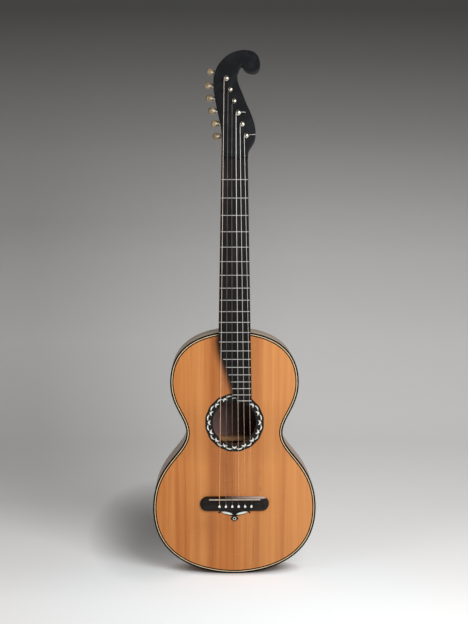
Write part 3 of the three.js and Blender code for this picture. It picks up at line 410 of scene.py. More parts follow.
def shaped(name, base, tree, angle=35, **sizes):
    """The plain mesh that a tree makes of a base mesh, with these sizes in metres."""
    holder = placed(name, base)
    modifier = holder.modifiers.new(name, "NODES")
    modifier.node_group = tree
    for item in tree.interface.items_tree:
        if item.in_out == "INPUT" and item.name in sizes:
            modifier[item.identifier] = sizes[item.name]
    made = worked(holder)
    holder.modifiers.remove(modifier)
    bpy.data.objects.remove(holder)
    made.name = name
    return creased(made, angle)


def path_of(points, loop=False):
    """A path of points as a mesh of edges, in metres."""
    mesh = bpy.data.meshes.new("path")
    count = len(points)
    edges = [(i, (i + 1) % count) for i in range(count if loop else count - 1)]
    mesh.from_pydata([Vector(p) * 0.001 for p in points], edges, [])
    return mesh


UPRIGHT = (math.radians(90), 0, 0)


def make_edging(n, given):
    path = n.add("GeometryNodeMeshToCurve", {}, {0: given})
    path = n.add("GeometryNodeSetCurveNormal", {"mode": "Z_UP"}, {0: path})
    size = {0: given.output("Width"), 1: given.output("Height")}
    section = n.add("GeometryNodeCurvePrimitiveQuadrilateral", {}, size)
    rounded = {0: section, 1: 3, 2: given.output("Rounding")}
    section = n.add("GeometryNodeFilletCurve", {"mode": "POLY"}, rounded)
    strip = n.add("GeometryNodeCurveToMesh", {}, {0: path, 1: section})
    return n.add("GeometryNodeTransform", {}, {0: strip, 2: UPRIGHT})


def black_look(n):
    wear = n.noise((55, 55, 38), 5, 0.65, 0.4)
    grain = n.noise((700, 700, 24))
    brushed = n.noise((160, 160, 9), 2, 0.5)
    base = n.tones(
        wear * 0.7 + grain * 0.3,
        (0.3, 9, 10, 13),
        (0.5, 17, 19, 23),
        (0.72, 40, 40, 42),
    )
    return surface(
        base,
        0.36 + wear * 0.16 + brushed * 0.08,
        n.bump(grain * 0.6 + brushed * 0.4, 0.22, 0.0003),
        specular=0.15, coat_weight=0.03, coat_roughness=0.25,
    )


def mottled(scale, stops, rough, bump, detail=3.0, warp=0.0, specular=0.5, **sockets):
    """A look in which one noise gives the colour, the gloss and the relief."""
    def look(n):
        speck = n.noise(scale, detail, 0.6, warp)
        return surface(
            n.tones(speck, *stops),
            rough[0] + speck * rough[1],
            n.bump(speck, *bump),
            specular=specular, **sockets,
        )

    return look


def rib_end(z):
    """How deep the ribs reach, which is less at the heel than at the tail."""
    return 82 - 14 * z / BODY_LENGTH


def back_level(z):
    return rib_end(z) + 1.5


edging = shape("edging", make_edging, Width="Float", Height="Float", Rounding="Float")
black = finish("black_stain", black_look)
EDGE_TONES = (0.3, 4, 4, 4), (0.55, 8, 7, 6), (0.8, 22, 17, 13)
edge_black = finish("black_edge", mottled(90, EDGE_TONES, (0.46, 0.2), (0.12, 0.0002), 4, specular=0.06))
HOLLY_TONES = (0.3, 222, 192, 146), (0.7, 250, 230, 190)
holly = finish("holly", mottled(90, HOLLY_TONES, (0.36, 0.12), (0.1, 0.0001)))
DARK_TONES = (0.3, 18, 7, 2), (0.7, 34, 15, 6)
dark_line = finish("dark_line", mottled(140, DARK_TONES, (0.5, 0.1), (0.1, 0.0001), specular=0.06))
for name, node, inset, width, deep, level, slot, look in (
    ("top_edge_strip", "top_binding", 1.41, 2.8, 3.2, lambda z: 1.6, "blackened_wood", edge_black),
    ("top_pale_line", "top_purfling", 3.43, 1.2, 1.1, lambda z: 0.54, "holly", holly),
    ("top_dark_line", None, 5.09, 2.06, 1.1, lambda z: 0.53, "blackened_wood", dark_line),
    ("back_edge_strip", "back_binding", 1.15, 2.3, 3.0, back_level, "blackened_wood", edge_black),
):
    path = path_of([(x, z, -level(z)) for x, z in outline(inset)], loop=True)
    rounding = 0.0004 if width > 2 else 0.00008
    sizes = {"Width": width / 1000, "Height": deep / 1000, "Rounding": rounding}
    strip = shaped(name, path, edging, **sizes, Finish=look)
    piece(name, strip, look, slot, *([node] if node else []))


# Ring round the soundhole: black mastic poured in a step of the top, with pearl pieces set in it.
# Crescents bulge outwards, and between them stand small tulips that open towards the hole.
def make_ring(n, given):
    spots = n.add("GeometryNodeMeshLine", {}, {0: INLAYS, 2: (0, 0, 0), 3: (0, 0, 0)})
    turn = n.add("GeometryNodeInputIndex") * (2 * math.pi / INLAYS) + given.output("Start")
    turn = n.add("ShaderNodeCombineXYZ", {}, {2: turn})
    around = n.add("GeometryNodeInstanceOnPoints", {}, {0: spots, 2: given, 5: turn})
    return n.add("GeometryNodeTransform", {}, {0: around, 1: (0, 0, HOLE / 1000), 2: UPRIGHT})


def pearl_look(n):
    piece_tone = n.noise(70, 1, 0.4)
    layers = n.noise(230, 4, 0.6, 1.4)
    stops = (0.3, 214, 216, 208), (0.45, 246, 243, 233), (0.6, 252, 248, 240), (0.78, 236, 224, 216)
    base = n.tones(layers, *stops)
    shade = ((piece_tone - 0.5) * 3 + 0.5).clamped()
    base = (shade * 0.2).mix(base, tone(164, 163, 156))
    cracks = ((n.noise(420) - 0.56) * 9).clamped()
    base = (cracks * 0.55).mix(base, tone(74, 74, 72))
    return surface(
        base,
        0.14 + layers * 0.12,
        n.bump(layers, 0.12, 0.0002),
        coat_weight=0.6, coat_roughness=0.06, thin_film_thickness=380.0,
    )


inlay_ring = shape("ring of inlays", make_ring, Start="Float")
MASTIC_TONES = (0.35, 8, 7, 7), (0.7, 24, 21, 20)
mastic = finish("mastic", mottled(420, MASTIC_TONES, (0.4, 0.2), (0.2, 0.0002), specular=0.22))
pearl = finish("pearl", pearl_look)
mastic_ring = slab("mastic ring", [ring_edge(), circle(HOLE_RADIUS + 0.05)], 0.0, 1.15, 0.08, 1)
piece("hole_ring", mastic_ring, mastic, "black_mastic", "rosette")
sweep = np.linspace(-1, 1, 25)
crescent_out = np.stack([50.4 - 2.9 * sweep**2, 5.9 * sweep], 1)
crescent_in = np.stack([48.2 - 1.2 * sweep**2, 5.9 * sweep], 1)
crescent = np.vstack([crescent_out, crescent_in[::-1]])
tulip = bezier((48.6, 0), (47.2, 2.6), (45.6, 4.4), (42.4, 4.1), 10)
tulip = np.vstack([tulip, bezier((42.4, 4.1), (43.9, 2.8), (44.6, 1.4), (44.7, 0), 8)[1:]])
tulip = np.vstack([tulip, (tulip * (1, -1))[-2:0:-1]])
DOWN = -math.pi / 2
for name, loop, start in (("crescents", crescent, DOWN + math.pi / INLAYS), ("tulips", tulip, DOWN)):
    inlay = slab(name[:-1], [loop], -0.06, 0.5, 0.05, 1)
    inlay.transform(spin(-90, "X"))
    piece("ring_pearl_" + name, shaped(name, inlay, inlay_ring, Start=start, Finish=pearl), pearl, "pearl")


# Inside: blocks, linings and braces of plain spruce, split straight and left bare. The back braces
# show through the hole.
def bare_look(n):
    along = n.noise((30, 30, 260))
    fine = n.noise((240, 900, 900))
    stops = (0.3, 150, 104, 66), (0.55, 178, 130, 88), (0.75, 196, 152, 108)
    base = n.tones(along * 0.6 + fine * 0.4, *stops)
    return surface(base, 0.7 + fine * 0.2, n.bump(fine, 0.3, 0.0004))


bare = finish("bare_spruce", bare_look)
for name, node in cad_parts.items():
    if "brace" in name or "block" in name or "lining" in name:
        for slot in node.material_slots:
            slot.material = bare


# Ribs: two strips of rosewood, 2.2 mm thick, bent on a hot iron. Their grain runs round the body.
# They are lower at the heel than at the tail, and meet on the centre line.
def rosewood(name, across, worn, pale):
    def look(n):
        side, deep, up = n.spot()
        figure = n.noise(across, 4, 0.62, 0.5)
        wide = n.noise(tuple(s * 0.22 for s in across), 3, 0.55, 0.8, shift=(3, 1, 2))
        pores = n.noise(tuple(s * 9 for s in across), 3, 0.7)
        stops = (0.3, 92, 52, 30), (0.46, 134, 84, 50), (0.58, 166, 112, 70), (0.72, 196, 142, 96)
        stops = [(at, red + pale, green + pale, blue + pale * 0.8) for at, red, green, blue in stops]
        base = n.tones(figure * 0.6 + wide * 0.4, *stops)
        dark = ((0.42 - pores) * 5).clamped()
        base = (dark * 0.5).mix(base, tone(58, 32, 20))
        # Painted sheen: the ribs' upper shoulders and their front edge are painted pale, where light falls
        # on them; worn sets how strongly.
        shoulder_sheen = ((up - 0.4) * 26).clamped()
        base = (shoulder_sheen * worn).mix(base, tone(232, 206, 168))
        front = (1 - deep / 0.036).clamped()
        base = (shoulder_sheen * front * worn * 1.4).clamped().mix(base, tone(255, 240, 214))
        bare_side = n.add("ShaderNodeAttribute", {"attribute_name": "bare side"}, {}, "Fac")
        # Dust and painted light on the bare inner side: lighter on the left and darker on the right, where
        # the light through the hole falls.
        dust_and_painted_light = ((0.003 - side) * 32).clamped().mix(tone(48, 34, 32), tone(140, 116, 116))
        base = (bare_side * 0.8).mix(base, dust_and_painted_light)
        return surface(
            base,
            0.22 + figure * 0.14 + bare_side * 0.4,
            n.bump(pores, 0.12, 0.0002),
            specular=0.3, coat_weight=0.25 - bare_side * 0.25, coat_roughness=0.2,
        )

    return finish(name, look)


RIB_THICK = 2.2
# worn=0.6 is the ribs' painted sheen; pale=26 lifts their tones above the back's, partly as their own
# lighter wood and partly as painted sheen.
rib_wood = rosewood("rosewood_ribs", (7, 210, 7), worn=0.6, pale=26)
for side, node in ((-1, "rib_bass"), (1, "rib_treble")):
    rings = []
    for (x, z), (xi, zi) in zip(half_outline(), half_outline(RIB_THICK)):
        x, xi = max(x, 0.05), max(xi, 0.05)
        heights = (3.3, 3.3 + (rib_end(z) - 3.4) / 2, rib_end(z) - 0.1)
        rings.append([(side * x, y, z) for y in heights] + [(side * xi, y, zi) for y in heights[::-1]])
    piece(node + "_bent", mesh_of(node, *skin(rings)), rib_wood, "rosewood", node)


# Back: two book-matched halves of rosewood, 3 mm thick and arched from side to side and from end to
# end. Its inner side, which shows through the soundhole, is left bare and has gathered dust, and it is
# painted lighter on the left and darker on the right, where the light through the hole falls.
def back_inner(across, z):
    along = 2 * z / BODY_LENGTH - 1
    return rib_end(z) + 7 * (1 - across * across) * (1 - along**4)


back_wood = rosewood("rosewood_back", (150, 12, 5), worn=0.0, pale=4)
rows = [p for p in outline(2.4)[: len(half_outline())] if p[0] > 8]
spread = np.linspace(-1, 1, 29)
rings = []
for x, z in rows:
    inside = [(a * x, back_inner(a, z), z) for a in spread]
    outside = [(a * x, back_inner(a, z) + 3 - 0.5 * a**30, z) for a in spread]
    rings.append(inside + outside[::-1])
back_mesh = mesh_of("back", *skin(rings))
bare_side = back_mesh.attributes.new("bare side", "FLOAT", "POINT")
for corner, point in zip(back_mesh.vertices, bare_side.data):
    x, y, z = corner.co * 1000
    reach = np.interp(z, [p[1] for p in rows], [p[0] for p in rows])
    point.value = float(y < back_inner(x / reach, z) + 1)
piece("back_arched", back_mesh, back_wood, "rosewood", "back")


# Neck: one length of pear wood, rounded behind and carried down into a heel, stained black and
# varnished. It hangs on the body by one screw.
NUT, STRING_LENGTH, BODY_JOINT_TO_NUT = 750, 610, 304


def board_half(z):
    return 23.4 + 5.2 * (NUT - z) / BODY_JOINT_TO_NUT


def neck_under(z):
    return 17 - 3.5 * (z - BODY_LENGTH) / BODY_JOINT_TO_NUT


def through(points, steps):
    """A smooth line through points: a Catmull-Rom curve with centripetal spacing."""
    p = np.asarray(points, float)
    p = np.vstack([2 * p[0] - p[1], p, 2 * p[-1] - p[-2]])
    line = []
    for a, b, c, d in zip(p, p[1:], p[2:], p[3:]):
        t = np.cumsum([0] + [max(np.linalg.norm(v - u), 1e-6) ** 0.5 for u, v in ((a, b), (b, c), (c, d))])
        for s in np.linspace(t[1], t[2], steps, endpoint=False):
            ab = a + (b - a) * (s - t[0]) / (t[1] - t[0])
            bc = b + (c - b) * (s - t[1]) / (t[2] - t[1])
            cd = c + (d - c) * (s - t[2]) / (t[3] - t[2])
            low = ab + (bc - ab) * (s - t[0]) / (t[2] - t[0])
            high = bc + (cd - bc) * (s - t[1]) / (t[3] - t[1])
            line.append(low + (high - low) * (s - t[1]) / (t[2] - t[1]))
    return np.vstack([line, p[-2]])


def shoulder_z(x):
    half = half_outline()
    upper = half[half[:, 1] > 400][::-1]
    return np.interp(x, upper[:, 0], upper[:, 1])


HEAD_LEAN, HEAD_ROOT = math.radians(14), 755.25
heel = through([(0, 1), (0.07, 0.88), (0.16, 0.68), (0.27, 0.44), (0.42, 0.22), (0.62, 0.08), (1, 0)], 4)
stations = [(BODY_LENGTH + 62 * run, fall) for run, fall in heel]
stations = [(z, neck_under(z) * (1 - fall) + 58 * fall, 2.0) for z, fall in stations]
stations += [(z, neck_under(z), 2.0) for z in np.linspace(530, 716, 8)]
stations += [(729, 13.7, 2.2), (736, 13.5, 2.5), (742, 13.5, 3.1), (748, 13.5, 4.2), (755, 13.5, 6.0)]
rings = []
for number, (z, low, square) in enumerate(stations):
    ring = []
    for a in np.linspace(0, math.pi, 41):
        x = board_half(min(z, NUT)) * math.copysign(abs(math.cos(a)) ** (2 / square), math.cos(a))
        y = -3.7 + (low + 3.7) * max(math.sin(a), 0) ** (2 / square)
        if number == 0:
            end = shoulder_z(abs(x)) + 0.1
        elif number == len(stations) - 1:
            end = HEAD_ROOT - 0.1 - (y + 6) * math.tan(HEAD_LEAN)
        else:
            end = z
        ring.append((x, y, end))
    rings.append(ring)
piece("neck_and_heel", mesh_of("neck", *skin(rings), 50), black, "blackened_wood", "neck")


# Fingerboard: ebony, glued to the neck and left floating over the top. Its bass side is cut away in
# a long sweep. The frets are bars of nickel silver, let in and filed round.
def ebony_look(n):
    streak = n.noise((330, 330, 7), 4, 0.62, 0.2)
    wide = n.noise((46, 46, 4), 2, 0.5)
    worn = n.noise((70, 70, 50), 4)
    base = n.tones(
        streak * 0.6 + wide * 0.4,
        (0.34, 8, 7, 7),
        (0.52, 17, 15, 14),
        (0.68, 38, 32, 28),
    )
    return surface(
        (((worn - 0.5) * 3).clamped() * 0.3).mix(base, tone(60, 52, 46)),
        0.34 + worn * 0.2,
        n.bump(streak, 0.2, 0.0003),
        specular=0.14,
    )


BOARD_END = 317.5


def bass_edge_x(z):
    """The board's bass edge: full width, then the sweep, a short run, and a tongue at the end."""
    if z < 327:
        return 3.6
    if z < 339:
        return -4.5
    if z > 432:
        return -board_half(z)
    wide = -board_half(432)
    sweep_line = bezier((wide, 432), (wide, 406.9), (-4.5, 357.6), (-4.5, 339), 40)[::-1]
    return np.interp(z, sweep_line[:, 1], sweep_line[:, 0])


def make_frets(n, given):
    bars = n.add("GeometryNodeMeshToCurve", {}, {0: given})
    bars = n.add("GeometryNodeSetCurveNormal", {"mode": "Z_UP"}, {0: bars})
    crown = n.add("GeometryNodeCurvePrimitiveCircle", {}, {"Resolution": 16, "Radius": 0.5})
    size = n.add("ShaderNodeCombineXYZ", {}, {0: given.output("Width"), 1: given.output("Height"), 2: 1.0})
    crown = n.add("GeometryNodeTransform", {}, {0: crown, 3: size})
    bars = n.add("GeometryNodeCurveToMesh", {}, {0: bars, 1: crown, 3: True})
    return n.add("GeometryNodeTransform", {}, {0: bars, 2: UPRIGHT})


ebony = finish("ebony", ebony_look)
NICKEL_TONES = (0.3, 204, 204, 200), (0.7, 240, 240, 236)
nickel = finish("nickel_silver", mottled(500, NICKEL_TONES, (0.32, 0.16), (0.08, 0.0001), 4, metallic=0.85))
board_loop = [(bass_edge_x(z), z) for z in np.linspace(NUT, 327.01, 160)]
board_loop += [(3.6, 327), (3.6, BOARD_END), (board_half(BOARD_END), BOARD_END), (board_half(NUT), NUT)]
piece("floating_board", slab("board", [board_loop], -8.2, -3.8, 0.35, 2), ebony, "ebony", "fingerboard")
fret_bars = bpy.data.meshes.new("fret lines")
ends = []
for number in range(1, 22):
    z = NUT - STRING_LENGTH * (1 - 2 ** (-number / 12))
    ends += [Vector((x, z, 8.15)) / 1000 for x in (bass_edge_x(z) + 0.7, board_half(z) - 0.5)]
fret_bars.from_pydata(ends, [(i, i + 1) for i in range(0, len(ends), 2)], [])
fret_shape = shape("frets", make_frets, Width="Float", Height="Float")
frets = shaped("frets", fret_bars, fret_shape, Width=0.0013, Height=0.0018, Finish=nickel)
piece("frets", frets, nickel, "steel")


# Nut: a bar of ebony across the end of the board, rounded over on top. A slot is filed in it for each
# string, to the string's own width.
STRING_SIZES = (1.1, 0.9, 0.76, 1.0, 0.82, 0.7)


def nut_x(i):
    return -20.2 + 7.6 * i


rings = []
for x in np.linspace(-23.4, 23.4, 193):
    dip = max(1 - ((x - nut_x(i)) / (size / 2 + 0.12)) ** 2 for i, size in enumerate(STRING_SIZES))
    top = -10.3 + 0.62 * max(dip, 0) ** 0.5
    front = [(-3.9, 750.1), (-8.6, 750.1), (top + 0.5, 750.3), (top + 0.1, 750.9), (top, 751.6)]
    back = [(top + 0.05, 752.6), (top + 0.6, 753.7), (top + 1.7, 754.4), (-6.1, 754.5), (-3.9, 754.5)]
    rings.append([(x, y, z) for y, z in front + back])
piece("nut_bar", mesh_of("nut", *skin(rings), 45), ebony, "ebony", "nut")


# Head: a slab 18 mm thick that leans back, sawn to a scroll, with its edges rounded over. Each tuner
# has a hole for its post from the front, and rooms for its wheel and its worm from behind.
HEAD_PLACE = Matrix.Translation((0, -6, HEAD_ROOT)) @ Matrix.Rotation(-HEAD_LEAN, 4, "X")
SHAFT_TILTS = (-16.5, -6, -2.6, 0.4, 3.6, 6.1)
POST_STEP, ROW_LEAN = 22, math.radians(18.4)
WHEEL_DEPTH, WORM_TO_POST = 12.5, 9.3


def post_place(i):
    return 20.6 - (5 - i) * POST_STEP * math.sin(ROW_LEAN), 36.8 + (5 - i) * POST_STEP * math.cos(ROW_LEAN)


def tuner_place(i):
    """On the post's axis in the head's face, with X along the worm and away from the knob."""
    x, along = post_place(i)
    return HEAD_PLACE @ Matrix.Translation((x, 0, along)) @ spin(-SHAFT_TILTS[i], "Y")


def worm_place(i):
    """On the worm's axis, which is the local Y here and points to the knob."""
    return tuner_place(i) @ Matrix.Translation((0, WHEEL_DEPTH, WORM_TO_POST)) @ spin(90, "Z")


def hollowed(mesh, tools, flat=None):
    """A mesh less its tools."""
    holder = placed("work", mesh)
    cutters = []
    for tool in tools:
        cutters.append(placed("tool", tool))
        cut = holder.modifiers.new("cut", "BOOLEAN")
        cut.operation, cut.solver, cut.object = "DIFFERENCE", "EXACT", cutters[-1]
    made = worked(holder)
    for spent in [holder, *cutters]:
        bpy.data.objects.remove(spent)
    return creased(made, 35, flat)


def box_loop(x0, x1, z0, z1):
    return [(x0, z0), (x1, z0), (x1, z1), (x0, z1)]


HEAD_SHARES = (
    (-0.28, -0.02), (-0.273, 0.08), (-0.268, 0.19), (-0.286, 0.3), (-0.336, 0.405), (-0.388, 0.515),
    (-0.425, 0.615), (-0.442, 0.695), (-0.425, 0.765), (-0.362, 0.84), (-0.255, 0.906), (-0.1, 0.963),
    (0.085, 0.994), (0.27, 1), (0.41, 0.984), (0.505, 0.945), (0.545, 0.89), (0.545, 0.842),
    (0.475, 0.802), (0.34, 0.8), (0.235, 0.822), (0.168, 0.86), (0.102, 0.823), (0.067, 0.768),
    (0.07, 0.72), (0.097, 0.675), (0.174, 0.59), (0.259, 0.495), (0.334, 0.42), (0.4, 0.34),
    (0.434, 0.28), (0.447, 0.225), (0.43, 0.165), (0.36, 0.11), (0.296, 0.06), (0.282, -0.02),
)
head_line = through([(84 * x, 196 * along) for x, along in HEAD_SHARES], 5)
head_slab = slab("head", [head_line], 0, 18, 1.3, 4, HEAD_PLACE)
tools = [slab("root", [box_loop(-60, 60, -40, 0)], -5, 25, place=HEAD_PLACE)]
for i in range(6):
    tools += [
        slab("bore", [circle(3.4, 40, (0, 0))], -1, 12, place=tuner_place(i)),
        slab("wheel room", [circle(7.5, 40, (0, 0))], 10.1, 19, place=tuner_place(i)),
        slab("worm room", [box_loop(-5.2, 5.2, 5.3, 13.3)], 8.5, 19, place=tuner_place(i)),
        slab("shaft bore", [circle(2.2, 24, (0, 0))], -9.4, 50, place=worm_place(i)),
    ]
head_face = HEAD_PLACE.to_3x3() @ Vector((0, 1, 0))
piece("scroll_head", hollowed(head_slab, tools, head_face), black, "blackened_wood", "head")


# Plate over the gears, on the back of the head: brass sheet filed to a point at both ends, held by
# six slotted screws.
def brass_look(n):
    tarnish = n.noise(60, 4, 0.62, 0.3)
    rubbed = n.noise((900, 300, 300))
    base = n.tones(tarnish, (0.3, 120, 92, 48), (0.55, 176, 144, 84), (0.75, 202, 172, 108))
    return surface(base, 0.3 + rubbed * 0.18, n.bump(rubbed, 0.08, 0.0002), metallic=1.0)


def turned(name, profile, place, sides=32, angle=35, flatten=1.0):
    """A turned piece from (radius, along) points, closed on its axis, which is the local Y."""
    a = np.linspace(0, 2 * math.pi, sides, endpoint=False)
    rings = [np.c_[r * np.cos(a), np.full(sides, along), flatten * r * np.sin(a)] for r, along in profile]
    points, faces = skin(rings, ends=False)
    first, last, rim = len(points), len(points) + 1, len(points) - sides
    for k in range(sides):
        after = (k + 1) % sides
        faces += [(first, after, k), (last, rim + k, rim + after)]
    points = np.vstack([points, (0, profile[0][1], 0), (0, profile[-1][1], 0)])
    return mesh_of(name, points, faces, angle, place)


def make_screws(n, given):
    screw = n.add("GeometryNodeObjectInfo", {}, {0: given.output("Screw")}, "Geometry")
    return n.add("GeometryNodeInstanceOnPoints", {}, {0: given, 2: screw, 5: given.output("Turn")})


PLATE_HALF, PLATE_POINT = 11.5, 5
brass = finish("brass", brass_look)
low, high = Vector(post_place(5)), Vector(post_place(0))
row_line = (high - low).normalized()
row_side = Vector((row_line.y, -row_line.x))
reach = (high - low).length
start, stop = -PLATE_HALF, reach + PLATE_HALF + 3.7 + PLATE_POINT
shares = [(start - PLATE_POINT, 0), (start, 0.62), (start + PLATE_POINT, 1)]
shares += [(stop - PLATE_POINT, 1), (stop, 0.62), (stop + PLATE_POINT, 0)]
shares += [(a, -c) for a, c in shares[-2:0:-1]]
plate_line = [low + row_line * a + row_side * c * PLATE_HALF for a, c in shares]
gear_plate = slab("plate", [plate_line], 18.1, 19.5, 0.35, 2, HEAD_PLACE)
piece("gear_plate", gear_plate, brass, "brass", "tuner_plate")
screw_line = [(1.95, 0.06), (1.95, 0.3), (1.7, 0.62), (1.0, 0.86), (0.3, 0.92)]
screw_head = turned("screw", screw_line, Matrix.Identity(4), 20)
screw_head = hollowed(screw_head, [slab("slot", [box_loop(-3, 3, -0.24, 0.24)], 0.5, 2)])
screw = placed("screw", screw_head)
spots = bpy.data.meshes.new("screws")
at = [low + row_line * a + row_side * c for a in (start + 3, reach / 2, stop - 3) for c in (-8.2, 8.2)]
spots.from_pydata([HEAD_PLACE @ Vector((x, 19.45, along)) / 1000 for x, along in at], [], [])
screw_shape = shape("screws", make_screws, Screw="Object", Turn="Rotation")
screws = shaped("screws", spots, screw_shape, Screw=screw, Turn=(-HEAD_LEAN, 0, 0), Finish=brass)
bpy.data.objects.remove(screw)
piece("gear_plate_screws", screws, brass, "brass")


# Posts: turned steel with a domed head, and a hollow neck that takes the string. Each carries a worm
# wheel of 14 teeth, whose teeth lean by the rise of the thread.
def bright_look(n):
    marks = n.noise(500, 4)
    dull = n.noise(110)
    stops = (0.3, 176, 164, 142), (0.6, 226, 218, 202), (0.8, 246, 242, 232)
    base = n.tones(marks * 0.5 + dull * 0.5, *stops)
    return surface(base, 0.08 + dull * 0.12, n.bump(marks, 0.1, 0.0001), metallic=1.0)


POST_LINE = [(2.4, 14.6), (2.4, 10.4), (3.1, 10.4), (3.1, -6.6), (2.95, -8.0), (3.0, -9.2), (3.7, -10.2)]
POST_LINE += [(3.9, -10.7), (3.8, -11.3), (3.3, -11.85), (2.5, -12.2), (1.5, -12.42), (0.5, -12.5)]
TEETH, THREAD_RISE, WHEEL_RADIUS, WORM_RADIUS = 14, 2.83, 6.3, 3
TOOTH_SIDE = ((5.25, 0.825), (WHEEL_RADIUS, 0.55), (6.85, 0.36))
gear = []
for tooth in range(TEETH):
    middle = 2 * math.pi / TEETH * (tooth + 0.5) + math.pi / 2
    gear += [(r, middle - half / r) for r, half in TOOTH_SIDE]
    gear += [(r, middle + half / r) for r, half in TOOTH_SIDE[::-1]]
lean = THREAD_RISE / (math.pi * 2 * WORM_RADIUS) / WHEEL_RADIUS
wheel_rings = []
for y in (-1.8, 0, 1.8):
    leaning = [(r, a - lean * y) for r, a in gear]
    wheel_rings.append([(r * math.cos(a), WHEEL_DEPTH + y, r * math.sin(a)) for r, a in leaning])
bright = finish("bright_steel", bright_look)
for i in range(6):
    place = tuner_place(i)
    string_hole = slab("hole", [circle(0.8, 20, (0, -2.9))], -5, 5, place=place @ spin(90, "Z"))
    shank = hollowed(turned("post", POST_LINE, place, 40), [string_hole])
    post = together("post", shank, mesh_of("wheel", *skin(wheel_rings), 35, place))
    piece(f"post_and_wheel_{i + 1}", post, bright, "steel", f"tuner_post_{i + 1}", body=f"post_{i + 1}")


# Worms: shaft, thread and collar turned from one steel bar, which lies in two bores of the head. The
# collar bears on the edge of the head.
def knob_start(i):
    """Where the knob begins, along its shaft."""
    back = worm_place(i).inverted()
    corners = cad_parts[f"tuner_knob_{i + 1}"].data.vertices
    return min((back @ (corner.co * 1000)).y for corner in corners)


THREAD_TURNS, THREAD_STEPS = 2.5, 100
THREAD_LINE = ((2.1, 0.65), (3.5, 0.36), (3.7, 0.26), (3.7, -0.26), (3.5, -0.36), (2.1, -0.65))
ridge = []
for step in range(THREAD_STEPS + 1):
    a = 2 * math.pi * THREAD_TURNS * (step / THREAD_STEPS - 0.5)
    middle = THREAD_RISE * a / (2 * math.pi)
    ridge.append([(r * math.sin(a), -(middle + w), -r * math.cos(a)) for r, w in THREAD_LINE])
for i in range(6):
    begin = knob_start(i)
    bar = [(1.9, -9.1), (1.9, -4.9), (2.3, -4.9), (2.3, 4.9), (1.9, 4.9)]
    collar = [(1.9, begin - 1.4), (3.4, begin - 1.4), (3.4, begin - 0.1), (1.9, begin - 0.1)]
    bar += [*collar, (1.9, begin + 4.4)]
    thread = mesh_of("thread", *skin(ridge), 35, worm_place(i))
    worm = together("worm", turned("bar", bar, worm_place(i), 28), thread)
    piece(f"worm_shaft_{i + 1}", worm, bright, "steel", f"tuner_worm_{i + 1}", body=f"worm_{i + 1}")


# Knobs: bone, turned with a full belly and a low dome, then dressed flat by hand. Each is pressed on
# the end of its shaft, and is yellow and dark where fingers have held it.
def bone_look(n):
    fibre = n.noise((130, 900, 900))
    stain = n.noise(120, 3, 0.6, 0.6)
    pits = n.noise((2200, 700, 700), 2, 0.5)
    base = n.tones(
        stain * 0.75 + fibre * 0.25,
        (0.3, 88, 70, 44),
        (0.46, 136, 116, 84),
        (0.6, 170, 150, 114),
        (0.76, 208, 192, 156),
    )
    return surface(
        base,
        0.22 + fibre * 0.14,
        n.bump(pits, 0.15, 0.0002),
        subsurface_weight=0.12, subsurface_scale=0.002, coat_weight=1.0, coat_roughness=0.17,
    )


bone = finish("bone", bone_look)
KNOB_LINE = [(4.3, 0), (4.9, 0.5), (5.3, 2.2), (6.25, 5), (6.6, 7.4)]
KNOB_LINE += [(6.1, 10.4), (4.6, 12.6), (2.2, 13.8), (0.3, 14)]
knob_line = [(4.0, 0.0), *map(tuple, through(KNOB_LINE, 4))]
for i in range(6):
    place = worm_place(i) @ Matrix.Translation((0, knob_start(i), 0)) @ spin(90, "Y")
    bore = slab("bore", [circle(2.3, 24, (0, 0))], -1, 4.9, place=place)
    knob = hollowed(turned("knob", knob_line, place, 40, 50, 0.86), [bore])
    piece(f"bone_knob_{i + 1}", knob, bone, "bone", f"tuner_knob_{i + 1}", body=f"worm_{i + 1}")


# Neck screw: steel, with a square end for the key. It lies in the heel and the whole neck hangs on
# it, so that the height of the strings can be set.
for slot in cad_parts["neck_screw"].material_slots:
    slot.material = bright


# Bridge: one bar of ebony with round ends and thin wings. Its ridge holds the saddle and its flat
# deck has a hole for each pin.
PIN_ROW = 127.4
RIDGE_AT = (117.5, 121.2, 122.6, 133.3, 134.6, 136.4, 137.2, 142.1, 142.9, 144.4)
RIDGE_HEIGHTS = (3.6, 5.9, 6.2, 6.2, 6.5, 8.8, 9, 9, 8.8, 6.3)


def bridge_height(x, z):
    """The lower of the section along the strings and the fall of the wings."""
    return min(np.interp(z, RIDGE_AT, RIDGE_HEIGHTS), np.interp(abs(x), [46.2, 48, 62.5], [9, 8.8, 3.5]))


def pin_x(i):
    return -27.4 + 11.6 * i


def bridge_look(n):
    side, deep, up = n.spot()
    streak = n.noise((9, 300, 420), 4, 0.6, 0.3)
    handled = n.noise(60, 4)
    base = n.tones(streak, (0.34, 11, 8, 7), (0.54, 22, 16, 14), (0.7, 46, 33, 26))
    # Rubbed paler at random, and painted lighter towards the right, where the light falls from the right.
    rubbed = ((handled - 0.48) * 3 + side * 4).clamped()
    base = (rubbed * 0.4).mix(base, tone(70, 61, 54))
    # Painted highlight: the top edge of the right wing is painted pale, where it catches the light from the
    # right.
    edge_highlight = ((up - 0.1408) * 500).clamped() * (0.3 + side * 16).clamped()
    base = (edge_highlight * 0.75).mix(base, tone(226, 204, 194))
    return surface(
        base,
        0.3 + handled * 0.12,
        n.bump(streak, 0.16, 0.0003),
        specular=0.08, coat_weight=0.22, coat_roughness=0.08,
    )


